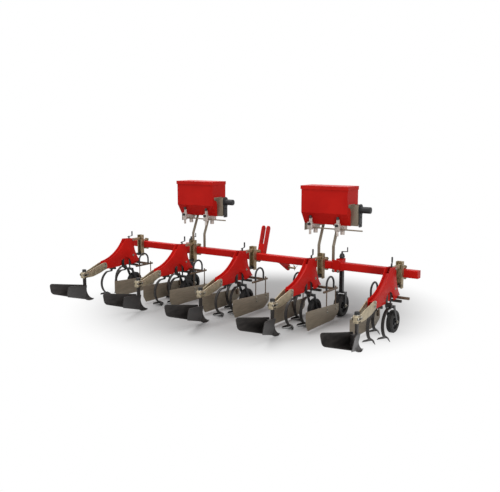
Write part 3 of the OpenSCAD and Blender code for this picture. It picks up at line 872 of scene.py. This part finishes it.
class RIDGER_OT_ridging_bodies(Operator):
    """Ridging bodies: shank with its foot, chisel point, breast and the two swept wings"""

    bl_idname = "ridger.ridging_bodies"
    bl_label = "Ridging bodies"

    tail = -1.4293
    shell_radius = 2.300
    tail_corner = 0.032
    sweep = math.radians(11)
    lean = math.radians(12)
    # heights of the wing's lower and upper edge at its nose and at its tail
    nose_edges = (0.022, 0.200)
    tail_edges = (0.140, 0.262)
    wing_thick = 0.006
    # the breast is a wedge, with its edge a little in front of the shank
    breast_front = 0.008
    breast_rear = -0.066
    breast_half = 0.032
    breast_low = 0.064
    breast_high = 0.190
    shank_top = 0.364
    shank_half_x = 0.010
    shank_half_y = 0.020
    heel_radius = 0.080
    instep_radius = 0.140
    instep_z = 0.150
    tip_reach = 0.134
    tip_half = 0.018
    tip_shoulder = 0.038
    tip_length = 0.080
    tip_low = 0.001
    tip_high = 0.011

    def execute(self, context):
        wing = self.wing()
        parts = [wing, mirrored(wing), self.leg(), self.point()]
        rear = SHANK_Y + self.breast_rear
        breast = [(0, SHANK_Y + self.breast_front), (-self.breast_half, rear), (self.breast_half, rear)]
        parts.append(extruded(breast, self.breast_low, self.breast_high, "Z", 0.003))
        on_units(join(parts, "ridging_pattern"), "ridging_body", "wing", "ridger")
        return {"FINISHED"}

    def wing(self):
        """The right wing: a strip of a leaning round shell, cut to the wing's side view."""
        columns = 40
        rows = 10
        mesh = bmesh.new()
        net = []
        for column in range(columns + 1):
            share = 1 - (1 - column / columns) ** 1.25
            y = SHANK_Y + (self.tail - SHANK_Y) * share
            low, high = (a + (b - a) * share for a, b in zip(self.nose_edges, self.tail_edges))
            past = self.tail + self.tail_corner - y
            if past > 0:
                lift = self.tail_corner - math.sqrt(max(self.tail_corner ** 2 - past ** 2, 0.0))
                low += lift
                high -= lift
            run = y - SHANK_Y - self.shell_radius * math.sin(self.sweep)
            out = self.shell_radius * math.cos(self.sweep) - math.sqrt(self.shell_radius ** 2 - run ** 2)
            line = []
            for row in range(rows + 1):
                z = low + (high - low) * row / rows
                up = (z - self.nose_edges[0] + out * math.sin(self.lean)) / math.cos(self.lean)
                x = out * math.cos(self.lean) + up * math.sin(self.lean)
                line.append(mesh.verts.new((x, y, z)))
            net.append(line)
        for first, second in zip(net, net[1:]):
            for a, b, c, d in zip(first, first[1:], second[1:], second):
                mesh.faces.new((a, b, c, d))
        bmesh.ops.remove_doubles(mesh, verts=mesh.verts, dist=0.0001)
        bmesh.ops.recalc_face_normals(mesh, faces=mesh.faces)
        piece = as_object(mesh, "wing")
        activate(piece)
        skin = piece.modifiers.new("skin", "SOLIDIFY")
        skin.thickness = self.wing_thick
        skin.offset = 0.0
        soften = piece.modifiers.new("soften", "BEVEL")
        soften.width = 0.0012
        soften.segments = 2
        bpy.ops.object.modifier_apply(modifier="skin")
        bpy.ops.object.modifier_apply(modifier="soften")
        return piece

    def leg(self):
        """Shank whose foot bends forward and tapers to the point."""
        rear = SHANK_Y - self.shank_half_y
        front = SHANK_Y + self.shank_half_y
        heel = self.heel_radius
        outline = [(rear, self.shank_top), (rear, heel)]
        outline += arc((rear + heel, heel), heel, 180, 266, 14)[1:]
        outline += arc((front + self.instep_radius, self.instep_z), self.instep_radius, 262, 180, 14)
        outline.append((front, self.shank_top))
        return extruded(outline, -self.shank_half_x, self.shank_half_x, "X", 0.002)

    def point(self):
        """Chisel point under the end of the foot."""
        tip = SHANK_Y + self.tip_reach
        shoulder = tip - self.tip_shoulder
        heel = tip - self.tip_length
        half = self.tip_half
        outline = [(0, tip), (-half, shoulder), (-half, heel), (half, heel), (half, shoulder)]
        return extruded(outline, self.tip_low, self.tip_high, "Z", 0.002)


class RIDGER_OT_tine_sets(Operator):
    """Spring tines with goosefoot shares on their hangers"""

    bl_idname = "ridger.tine_sets"
    bl_label = "Tines"

    # x and y of each tine's top, and the ends of its hanger
    tines = ((-0.030, -0.569, -0.060, 0.040), (0.052, -0.409, 0.003, 0.070), (-0.130, -0.229, -0.160, 0.095))
    hanger_low = 0.325
    hanger_high = 0.350
    hanger_half = 0.013
    # plate under the hanger that holds the tine
    seat_half_x = 0.020
    seat_half_y = 0.019
    seat_low = 0.318
    seat_high = 0.327
    # upright bar between the middle hanger and the frame
    riser_half = 0.018
    riser_thick = 0.016
    riser_top = 0.430
    neck_z = 0.312
    neck_radius = 0.012
    bow_back = 0.023
    bow_z = 0.160
    bow_radius = 0.150
    spring_half = 0.016
    spring_thick = 0.011
    share_back = 0.0884
    share_z = 0.041
    droop = math.radians(40)
    pitch = math.radians(-28)
    # half of a share, seen from above with its nose at the front
    half_share = [(-0.004, 0.062), (0.010, 0.062), (0.0875, -0.030), (0.0635, -0.048), (0, -0.004),
        (-0.004, -0.004)]

    def execute(self, context):
        parts = []
        for x, y, first, last in self.tines:
            parts.append(self.spring(x, y))
            parts += self.share(x, y)
            low = (first, y - self.hanger_half, self.hanger_low)
            parts.append(block(low, (last, y + self.hanger_half, self.hanger_high)))
            low = (x - self.seat_half_x, y - self.seat_half_y, self.seat_low)
            parts.append(block(low, (x + self.seat_half_x, y + self.seat_half_y, self.seat_high)))
        x, y, first, last = self.tines[1]
        low = (first, y - self.riser_half, self.hanger_low)
        parts.append(block(low, (first + self.riser_thick, y + self.riser_half, self.riser_top)))
        on_units(join(parts, "tine_pattern"), "tine_set", "wing", "tines")
        return {"FINISHED"}

    def spring(self, x, y):
        """The tine itself: from its hanger back, around the bow and forward to the share."""
        line = [(y, self.hanger_low + 0.001), (y, self.neck_z)]
        line += arc((y - self.neck_radius, self.neck_z), self.neck_radius, 0, -90, 5)[1:]
        line += arc((y - self.bow_back, self.bow_z), self.bow_radius, 111, 244, 26)
        bar = ribbon(line, self.spring_thick)
        return extruded(bar, x - self.spring_half, x + self.spring_half, "X", 0.002)

    def share(self, x, y):
        """Goosefoot share: two drooping wings from a raised crown to a low nose."""
        wing = extruded(self.half_share, 0.0, 0.005, "Z", 0.001)
        wing.data.transform(Matrix.Rotation(self.pitch, 4, "X") @ Matrix.Rotation(self.droop, 4, "Y"))
        other = mirrored(wing)
        for piece in (wing, other):
            piece.data.transform(Matrix.Translation((x, y - self.share_back, self.share_z)))
        return [wing, other]


class RIDGER_OT_side_shields(Operator):
    """Side shields with a rising top edge and a cut front corner"""

    bl_idname = "ridger.side_shields"
    bl_label = "Side shields"

    # y and z of the corners with their radii
    corners = [(-0.710, 0.020, 0.02), (-0.750, 0.090, 0.02), (-0.750, 0.222, 0.008), (-0.040, 0.180, 0.008),
        (-0.040, 0.085, 0.05), (-0.155, 0.020, 0.09)]

    def execute(self, context):
        plate = extruded(rounded(self.corners, 10), SHIELD_INNER, SHIELD_OUTER, "X", 0.001)
        plates = {1: plate, -1: mirrored(plate)}
        for unit in UNITS:
            made = [moved(plates[side], unit_place(unit), "plate") for side in shielded(unit)]
            piece = dress(join(made, f"side_shields_{unit}"), "sheet", f"unit_{unit}")
            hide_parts(f"shields_{unit}")
        discard(*plates.values())
        return {"FINISHED"}


class RIDGER_OT_clamp_nuts(Operator):
    """Nuts of the unit clamps and of the support wheels' clamps on the toolbar"""

    bl_idname = "ridger.clamp_nuts"
    bl_label = "Nuts on the clamps"

    clamp_plate = 0.012
    unit_spread = 0.014
    unit_past_bar = 0.016
    wheel_spread = 0.028
    wheel_past_bar = 0.013

    def execute(self, context):
        face = bar_half + self.clamp_plate
        pattern = hex_nut(context.scene.ridger_sizes.clamp_nut)
        places = []
        for unit in UNITS:
            for side in SIDES:
                for z in (bar_low.z - self.unit_past_bar, bar_high.z + self.unit_past_bar):
                    places.append((at(unit_x[unit] + side * self.unit_spread, face, z), FORWARD))
        for wheel in ("support_wheel_left", "support_wheel_right"):
            for side in SIDES:
                x = middle(wheel).x + side * self.wheel_spread
                places.append((at(x, -face, bar_low.z - self.wheel_past_bar), BACKWARD))
        dress(copies(pattern, places, "clamp_nuts"), "nut", "machine")
        discard(pattern)
        return {"FINISHED"}


class RIDGER_OT_unit_bolts(Operator):
    """Bolts of each unit: arms on the frame, shank clamp, shields and wheel axle"""

    bl_idname = "ridger.unit_bolts"
    bl_label = "Bolts on the units"

    # x of the face under a head, then y and z
    large_places = ((ARM_OUTER, -0.728, 0.417), (ARM_OUTER, -0.734, 0.378), (CLAMP_OUTER, -1.008, 0.330),
        (CLAMP_OUTER, -1.072, 0.330), (0.046, -0.200, 0.115))
    shield_heights = (0.128, 0.164)

    def execute(self, context):
        sizes = context.scene.ridger_sizes
        large = hex_bolt(sizes.arm_nut)
        small = hex_bolt(sizes.small_nut)
        for unit in UNITS:
            middle_x = unit_x[unit]
            places = []
            for side in SIDES:
                for face, y, z in self.large_places:
                    places.append((at(middle_x + side * face, y, z), (side, 0, 0)))
            dress(copies(large, places, f"arm_bolts_{unit}"), "nut", f"unit_{unit}")
            places = []
            for side in shielded(unit):
                for y in RODS_Y:
                    for z in self.shield_heights:
                        places.append((at(middle_x + side * SHIELD_OUTER, y, z), (side, 0, 0)))
            dress(copies(small, places, f"shield_bolts_{unit}"), "nut", f"unit_{unit}")
        discard(large, small)
        return {"FINISHED"}


class RIDGER_OT_shank_knobs(Operator):
    """Ring and black knob above each ridger's shank"""

    bl_idname = "ridger.shank_knobs"
    bl_label = "Knobs on the shanks"

    ring_height = 0.005
    knob_height = 0.028

    def execute(self, context):
        radius = context.scene.ridger_sizes.knob
        shank = Vector((0, SHANK_Y, CLAMP_TOP))
        ring = turned_bar(radius * 1.12, self.ring_height, 32, 0.0015)
        ring.data.transform(Matrix.Translation(shank))
        on_units(ring, "shank_ring", "nut")
        knob = turned_bar(radius, self.knob_height, 12, 0.005)
        pick_faces(knob, lambda centre, normal: abs(normal.z) < 0.1)
        bpy.ops.mesh.inset(thickness=0.0015, depth=-0.0007, use_individual=True)
        bpy.ops.object.mode_set(mode="OBJECT")
        knob.data.transform(Matrix.Translation(shank + Vector((0, 0, self.ring_height))))
        on_units(knob, "shank_knob", "plastic")
        return {"FINISHED"}


class RIDGER_OT_link_washers(Operator):
    """Washers and snap rings on the pins of the parallel links"""

    bl_idname = "ridger.link_washers"
    bl_label = "Washers on the link pins"

    washer_thick = 0.003
    clamp_face = 0.034

    def execute(self, context):
        radius = context.scene.ridger_sizes.washer
        washer = turned_bar(radius, self.washer_thick, 24, 0.0008)
        ring = shift(turned_bar(radius * 0.82, 0.002, 24, 0.0005), self.washer_thick)
        pattern = join([washer, ring], "washer_pattern")
        places = []
        for unit in UNITS:
            places += self.pin_ends(unit, self.clamp_face, FRONT_PIN_Y)
        dress(copies(pattern, places, "link_washers"), "nut", "machine")
        for unit in UNITS:
            washers = copies(pattern, self.pin_ends(unit, PLATE_OUTER, REAR_PIN_Y), f"frame_washers_{unit}")
            dress(washers, "nut", f"unit_{unit}")
        discard(pattern)
        return {"FINISHED"}

    def pin_ends(self, unit, face, y):
        """Both ends of a unit's upper and lower pin, where they leave the plates."""
        ends = []
        for side in SIDES:
            for z in PIN_HEIGHTS:
                ends.append((at(unit_x[unit] + side * face, y, z), (side, 0, 0)))
        return ends


class RIDGER_OT_wheel_bolts(Operator):
    """Bolts on the wheel discs, and the nuts and washers of the support wheels' axles"""

    bl_idname = "ridger.wheel_bolts"
    bl_label = "Bolts on the wheels"

    bolts = 5
    first_turn = 18
    circle = 0.054
    disc_face = 0.010
    fork_face = 0.056

    def execute(self, context):
        sizes = context.scene.ridger_sizes
        pattern = hex_bolt(sizes.disc_bolt)
        ring = arc((0, 0), self.circle, self.first_turn, self.first_turn + 360, self.bolts)[:-1]
        supports = ["support_wheel_left", "support_wheel_right"]
        for wheel in [f"unit_wheel_{unit}" for unit in UNITS] + supports:
            places = []
            for side in SIDES:
                for y, z in ring:
                    places.append((middle(wheel) + Vector((side * self.disc_face, y, z)), (side, 0, 0)))
            dress(copies(pattern, places, f"bolts_{wheel}"), "black", wheel)
        nut = hex_nut(sizes.arm_nut * 1.2)
        places = []
        for wheel in supports:
            for side in SIDES:
                places.append((middle(wheel) + Vector((side * self.fork_face, 0, 0)), (side, 0, 0)))
        dress(copies(nut, places, "support_axle_nuts"), "nut", "machine")
        discard(pattern, nut)
        return {"FINISHED"}


class RIDGER_OT_drives(Operator):
    """Drives at the hoppers' right ends: folded bracket, narrow black plate and motor"""

    bl_idname = "ridger.drives"
    bl_label = "Hopper drives"

    hoppers = (-0.900, 0.900)
    end = 0.281
    reach = 0.090
    plate = 0.009
    middle_y = 0.1035
    motor_z = 1.186
    sheet = 0.004
    flange_y = 0.042
    base_edge = 0.050
    bracket_low = 1.014
    bracket_high = 1.244
    tab = (-0.104, 1.148)
    tab_radius = 0.062
    far_low = 0.930
    far_high = 1.080
    # radius and length of the turned parts
    journal = (0.024, 0.021)
    motor_flange = (0.042, 0.012)
    motor_barrel = (0.035, 0.113)
    journal_z = 1.046
    journal_reach = 0.024
    # y and z of the black plate's corners with their radii
    plate_corners = [(-0.036, 1.000, 0.014), (0.036, 1.000, 0.014), (0.036, 1.130, 0.03),
        (0.048, 1.160, 0.03), (0.048, 1.248, 0.04), (-0.048, 1.248, 0.04), (-0.048, 1.160, 0.03),
        (-0.036, 1.130, 0.03)]

    def execute(self, context):
        places = [at(centre, self.middle_y, 0) for centre in self.hoppers]
        bracket = self.bracket()
        folded = join([moved(bracket, place, "bracket") for place in places], "folded_drive_brackets")
        dress(folded, "sheet", "machine")
        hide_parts("drive_brackets")
        motor = self.motor()
        driven = join([moved(motor, place, "motor") for place in places], "plates_with_motors")
        dress(driven, "plastic", "machine")
        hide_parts("drive_motors")
        discard(bracket, motor)
        return {"FINISHED"}

    def bracket(self):
        """Base with its swept tab, two side flanges, and the plate and journal at the hopper's other end."""
        outer = self.end + self.sheet
        base = [(-self.flange_y, self.bracket_low)] + arc(self.tab, self.tab_radius, 0, 90, 10)
        base += [(self.tab[0], self.bracket_high), (self.base_edge, self.bracket_high)]
        base.append((self.base_edge, self.bracket_low))
        parts = [extruded(base, self.end, outer, "X", 0.001)]
        for side in SIDES:
            y = side * self.flange_y
            low = (self.end, y - self.sheet / 2, self.bracket_low)
            high = (self.end + self.reach, y + self.sheet / 2, self.bracket_high - self.sheet)
            parts.append(block(low, high, 0.001))
        half = self.flange_y + self.sheet / 2
        parts.append(block((-outer, -half, self.far_low), (-self.end, half, self.far_high), 0.001))
        journal = turned_bar(*self.journal, 32, 0.002)
        far_end = (-self.end - self.journal_reach, 0, self.journal_z)
        parts.append(copies(journal, [(far_end, RIGHT)], "journal"))
        discard(journal)
        return join(parts, "bracket_pattern")

    def motor(self):
        """Narrow plate with a round head, and the motor on it with its flange."""
        low = self.end + self.reach
        high = low + self.plate
        parts = [extruded(rounded(self.plate_corners, 8), low, high, "X", 0.0015)]
        for size, chamfer in ((self.motor_flange, 0.002), (self.motor_barrel, 0.004)):
            turned = turned_bar(*size, 40, chamfer)
            parts.append(copies(turned, [((high, 0, self.motor_z), RIGHT)], "motor_part"))
            discard(turned)
        return join(parts, "motor_pattern")


class RIDGER_OT_gate_housings(Operator):
    """Housings on the hoppers' gates, with their drain necks, dark knobs and the sleeve of the shutter rod"""

    bl_idname = "ridger.gate_housings"
    bl_label = "Gate housings"

    gates = (-0.167, 0.167)
    half_width = 0.030
    rear = -0.034
    front = -0.006
    low = 0.952
    high = 1.036
    # radius and length of the turned parts
    neck = (0.013, 0.058)
    knob = (0.015, 0.030)
    sleeve = (0.0075, 0.650)
    neck_y = -0.020
    neck_low = 0.900
    knob_y = -0.016
    knob_z = 1.078
    screw_z = 1.016
    sleeve_start = -0.205
    sleeve_y = 0.012
    sleeve_z = 0.972

    def execute(self, context):
        neck = turned_bar(*self.neck, 24, 0.002)
        knob = turned_bar(*self.knob, 24, 0.004)
        sleeve = turned_bar(*self.sleeve, 20, 0.001)
        necks = []
        knobs = []
        sleeves = []
        housings = []
        for centre in RIDGER_OT_drives.hoppers:
            for gate in self.gates:
                x = centre + gate
                low = at(x - self.half_width, self.rear, self.low)
                high = at(x + self.half_width, self.front, self.high)
                housings.append(block(low, high, 0.004))
                necks.append((at(x, self.neck_y, self.neck_low), UP))
                knobs.append((at(x, self.knob_y, self.knob_z), UP))
                knobs.append((at(x, self.rear + 0.006, self.screw_z), BACKWARD))
            sleeves.append((at(centre + self.sleeve_start, self.sleeve_y, self.sleeve_z), RIGHT))
        cast = join(housings + [copies(neck, necks, "necks")], "gate_housings")
        dress(cast, "alloy", "machine")
        dress(copies(knob, knobs, "gate_knobs"), "plastic", "machine")
        dress(copies(sleeve, sleeves, "shutter_sleeves"), "sheet", "machine")
        discard(neck, knob, sleeve)
        return {"FINISHED"}


class RIDGER_OT_drive_bolts(Operator):
    """Bolts of the drive plates, and the bolts of the hopper posts"""

    bl_idname = "ridger.drive_bolts"
    bl_label = "Bolts on the drives and posts"

    plate_heights = (1.022, 1.108)
    post_heights = (0.562, 0.598)
    post_spread = 0.090
    post_face = 0.052

    def execute(self, context):
        drives = RIDGER_OT_drives
        pattern = hex_bolt(context.scene.ridger_sizes.disc_bolt)
        places = []
        for centre in drives.hoppers:
            plate = centre + drives.end + drives.reach + drives.plate
            for z in self.plate_heights:
                places.append((at(plate, drives.middle_y, z), RIGHT))
            for post in SIDES:
                for z in self.post_heights:
                    places.append((at(centre + post * self.post_spread, self.post_face, z), FORWARD))
        dress(copies(pattern, places, "drive_bolts"), "black", "machine")
        discard(pattern)
        return {"FINISHED"}


class RIDGER_OT_grips(Operator):
    """Black grips on the cranks of the depth spindles"""

    bl_idname = "ridger.grips"
    bl_label = "Grips on the cranks"

    length = 0.052
    spindle_y = -0.280
    crank_turn = math.radians(20)
    crank_reach = 0.095
    crank_z = 0.714

    def execute(self, context):
        pattern = turned_bar(context.scene.ridger_sizes.grip, self.length, 20, 0.003)
        pick_faces(pattern, lambda centre, normal: abs(normal.z) < 0.1)
        bpy.ops.mesh.subdivide(number_cuts=7)
        bpy.ops.object.mode_set(mode="OBJECT")
        across = -self.crank_reach * math.sin(self.crank_turn)
        along = self.spindle_y + self.crank_reach * math.cos(self.crank_turn)
        pattern.data.transform(Matrix.Translation((across, along, self.crank_z)))
        on_units(pattern, "crank_grip", "plastic")
        return {"FINISHED"}


class RIDGER_OT_linch_pins(Operator):
    """Linch pins with their rings at the ends of the lower hitch pins"""

    bl_idname = "ridger.linch_pins"
    bl_label = "Linch pins"

    from_end = 0.012
    ring_radius = 0.022
    ring_wire = 0.0022
    # radius and length of the head
    head = (0.009, 0.010)
    stem_radius = 0.0045

    def execute(self, context):
        length = context.scene.ridger_sizes.linch_pin
        low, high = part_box("hitch_pins")
        axis = (low + high) / 2
        deselect()
        bpy.ops.mesh.primitive_torus_add(
            major_radius=self.ring_radius, minor_radius=self.ring_wire,
            major_segments=32, minor_segments=8,
            rotation=(math.radians(90), 0, math.radians(35)), location=(0, -0.016, length / 2 + 0.004))
        ring = bpy.context.object
        bpy.ops.object.transform_apply(location=True, rotation=True, scale=True)
        stem = shift(turned_bar(self.stem_radius, length, 16, 0.002), -length / 2)
        head = shift(turned_bar(*self.head, 16, 0.003), length / 2 - 0.006)
        pattern = join([stem, head, ring], "linch_pattern")
        ends = (low.x + self.from_end, high.x - self.from_end)
        places = [(Vector((x, axis.y, axis.z)), UP) for x in ends]
        dress(copies(pattern, places, "linch_pins"), "nut", "machine")
        discard(pattern)
        return {"FINISHED"}


class RIDGER_OT_welds(Operator):
    """Weld beads of the hitch plates and uprights on the toolbar"""

    bl_idname = "ridger.welds"
    bl_label = "Weld beads"

    seam = 0.066
    bead_shape = (1.25, 1.25, 0.75)
    upright_edges = (0.026, 0.041)
    upright_lift = 0.008
    hitch_plate_edges = (0.3255, 0.3415)
    hitch_plate_rear = -0.030

    def execute(self, context):
        radius = context.scene.ridger_sizes.bead
        step = radius * 0.9
        deselect()
        bpy.ops.mesh.primitive_uv_sphere_add(segments=10, ring_count=6, radius=radius)
        bead = bpy.context.object
        bpy.ops.object.mode_set(mode="EDIT")
        bpy.ops.mesh.select_all(action="SELECT")
        bpy.ops.transform.resize(value=self.bead_shape)
        bpy.ops.object.mode_set(mode="OBJECT")
        row = bead.modifiers.new("row", "ARRAY")
        row.use_relative_offset = False
        row.use_constant_offset = True
        row.constant_offset_displace = (0, 0, step)
        row.count = int(self.seam / step)
        activate(bead)
        bpy.ops.object.modifier_apply(modifier="row")
        places = []
        for side in SIDES:
            for edge in self.upright_edges:
                places.append((at(side * edge, bar_half, bar_low.z + self.upright_lift), UP))
            for edge in self.hitch_plate_edges:
                places.append((at(side * edge, self.hitch_plate_rear, bar_low.z), FORWARD))
        dress(copies(bead, places, "weld_beads"), "red", "machine")
        discard(bead)
        return {"FINISHED"}


class RIDGER_OT_stage(Operator):
    """Floor with a painted shadow, grey round the machine and white further off, soft light from all round, a
    large lamp, a side lamp and the camera
    """

    bl_idname = "ridger.stage"
    bl_label = "Studio"

    floor_radius = 45
    floor_rim = 35
    # painted shadow on the floor: y of its middle, and where its grey starts and ends fading to white, as
    # shares of its reach
    shade_y = 0.7
    fade_start = 0.5
    fade_end = 1.12
    key_place = (-1.6, 0.0, 7.0)
    side_place = (10.6, -8.6, 3.4)
    lamp_size = 5.0

    def execute(self, context):
        studio = context.scene.ridger_studio
        scene = context.scene
        scene.view_settings.view_transform = "Standard"
        deselect()
        bpy.ops.mesh.primitive_circle_add(vertices=64, radius=self.floor_radius, fill_type="NGON")
        floor = context.object
        floor.name = "studio_floor"
        pick_faces(floor, lambda centre, normal: True)
        bpy.ops.mesh.inset(thickness=self.floor_rim)
        bpy.ops.object.mode_set(mode="OBJECT")
        floor.data.materials.append(self.floor_with_painted_shadow(scene.ridger_colours, studio.shade))
        self.sky(scene, studio.sky)
        self.lamp("key_lamp", self.key_place, studio.key)
        self.lamp("side_lamp", self.side_place, studio.fill)
        lens = bpy.data.cameras.new("photo_camera")
        lens.lens = studio.lens
        lens.sensor_width = 36.0
        camera = bpy.data.objects.new("photo_camera", lens)
        camera.location = studio.place
        camera.rotation_euler = (math.radians(90) - studio.tilt, 0, studio.heading)
        scene.collection.objects.link(camera)
        scene.camera = camera
        return {"FINISHED"}

    def floor_with_painted_shadow(self, colours, reach):
        """Matt floor whose pale grey round the machine is a painted shadow, which fades to plain white
        further off.
        """
        material, tree, shader, place = start_material("floor_painted_shadow")
        # painted shadow: the grey base colour round the machine stands in for the machine's shadow on the
        # floor
        tone, dull = clouds(tree, place, 900, 2.0, (colours.floor, "#B8B8B8"), (0.9, 0.9))
        set_inputs(tree, shader, {"Base Color": tone, "Roughness": dull, "Specular IOR Level": 0.0})
        flat = add_node(tree, "ShaderNodeMapping", {}, {
            "Vector": place, "Location": (0.0, -self.shade_y / reach, 0.0),
            "Scale": (1 / reach, 1 / reach, 0.0)})
        away = add_node(tree, "ShaderNodeVectorMath", {"operation": "LENGTH"}, {0: flat.outputs["Vector"]})
        fade = add_node(tree, "ShaderNodeMapRange", {"interpolation_type": "SMOOTHSTEP"}, {
            "Value": away.outputs["Value"], "From Min": self.fade_start, "From Max": self.fade_end})
        path = add_node(tree, "ShaderNodeLightPath", {}, {})
        seen = add_node(tree, "ShaderNodeMath", {"operation": "MAXIMUM"}, {
            0: path.outputs["Is Camera Ray"], 1: path.outputs["Is Glossy Ray"]})
        share = add_node(tree, "ShaderNodeMath", {"operation": "MULTIPLY"}, {
            0: fade.outputs["Result"], 1: seen.outputs["Value"]})
        white = add_node(tree, "ShaderNodeEmission", {}, {"Color": (1.0, 1.0, 1.0, 1.0), "Strength": 1.0})
        mixed = add_node(tree, "ShaderNodeMixShader", {}, {
            0: share.outputs["Value"], 1: shader.outputs["BSDF"], 2: white.outputs["Emission"]})
        output = next(node for node in tree.nodes if node.type == "OUTPUT_MATERIAL")
        tree.links.new(mixed.outputs["Shader"], output.inputs["Surface"])
        return material

    def sky(self, scene, strength):
        """White all round: full white where it is seen, weaker as light."""
        world = bpy.data.worlds.new("studio_sky")
        world.use_nodes = True
        tree = world.node_tree
        tree.nodes.clear()
        path = add_node(tree, "ShaderNodeLightPath", {}, {})
        seen = add_node(tree, "ShaderNodeMath", {"operation": "MAXIMUM"}, {
            0: path.outputs["Is Camera Ray"], 1: path.outputs["Is Glossy Ray"]})
        shown = add_node(tree, "ShaderNodeMath", {"operation": "MAXIMUM"}, {
            0: seen.outputs["Value"], 1: path.outputs["Is Transmission Ray"]})
        level = add_node(tree, "ShaderNodeMapRange", {}, {
            "Value": shown.outputs["Value"], "To Min": strength, "To Max": 1.0})
        back = add_node(tree, "ShaderNodeBackground", {}, {
            "Color": (1.0, 1.0, 1.0, 1.0), "Strength": level.outputs["Result"]})
        add_node(tree, "ShaderNodeOutputWorld", {}, {"Surface": back.outputs["Background"]})
        scene.world = world

    def lamp(self, name, place, power):
        """A square lamp that looks at the middle of the object."""
        light = bpy.data.lights.new(name, "AREA")
        light.size = self.lamp_size
        light.energy = power
        lamp = bpy.data.objects.new(name, light)
        lamp.location = place
        aim = (cad_low + cad_high) / 2 - Vector(place)
        lamp.rotation_euler = aim.to_track_quat("-Z", "Y").to_euler()
        bpy.context.scene.collection.objects.link(lamp)


class RIDGER_PT_panel(Panel):
    """Sidebar panel of the ridger's finish"""

    bl_label = "Ridger"
    bl_idname = "RIDGER_PT_panel"
    bl_space_type = "VIEW_3D"
    bl_region_type = "UI"
    bl_category = "Ridger"

    def draw(self, context):
        layout = self.layout
        for name in ("ridger_colours", "ridger_sizes", "ridger_studio"):
            group = getattr(context.scene, name)
            box = layout.box()
            for prop in group.bl_rna.properties:
                if not prop.is_readonly and prop.identifier != "name":
                    box.prop(group, prop.identifier)
        for operator in OPERATORS:
            layout.operator(operator.bl_idname)


GROUPS = {
    "ridger_colours": RidgerColours,
    "ridger_sizes": RidgerSizes,
    "ridger_studio": RidgerStudio,
}
OPERATORS = (
    RIDGER_OT_paint,
    RIDGER_OT_frames,
    RIDGER_OT_arms,
    RIDGER_OT_ridging_bodies,
    RIDGER_OT_tine_sets,
    RIDGER_OT_side_shields,
    RIDGER_OT_clamp_nuts,
    RIDGER_OT_unit_bolts,
    RIDGER_OT_shank_knobs,
    RIDGER_OT_link_washers,
    RIDGER_OT_wheel_bolts,
    RIDGER_OT_drives,
    RIDGER_OT_gate_housings,
    RIDGER_OT_drive_bolts,
    RIDGER_OT_grips,
    RIDGER_OT_linch_pins,
    RIDGER_OT_welds,
    RIDGER_OT_stage,
)


def register():
    for name, group in GROUPS.items():
        bpy.utils.register_class(group)
        setattr(bpy.types.Scene, name, PointerProperty(type=group))
    for operator in OPERATORS:
        bpy.utils.register_class(operator)
    bpy.utils.register_class(RIDGER_PT_panel)


def unregister():
    bpy.utils.unregister_class(RIDGER_PT_panel)
    for operator in reversed(OPERATORS):
        bpy.utils.unregister_class(operator)
    for name, group in GROUPS.items():
        delattr(bpy.types.Scene, name)
        bpy.utils.unregister_class(group)


def main():
    register()
    bpy.ops.ridger.paint()
    bpy.ops.ridger.frames()
    bpy.ops.ridger.arms()
    bpy.ops.ridger.ridging_bodies()
    bpy.ops.ridger.tine_sets()
    bpy.ops.ridger.side_shields()
    bpy.ops.ridger.clamp_nuts()
    bpy.ops.ridger.unit_bolts()
    bpy.ops.ridger.shank_knobs()
    bpy.ops.ridger.link_washers()
    bpy.ops.ridger.wheel_bolts()
    bpy.ops.ridger.drives()
    bpy.ops.ridger.gate_housings()
    bpy.ops.ridger.drive_bolts()
    bpy.ops.ridger.grips()
    bpy.ops.ridger.linch_pins()
    bpy.ops.ridger.welds()
    bpy.ops.ridger.stage()


if __name__ == "__main__":
    main()
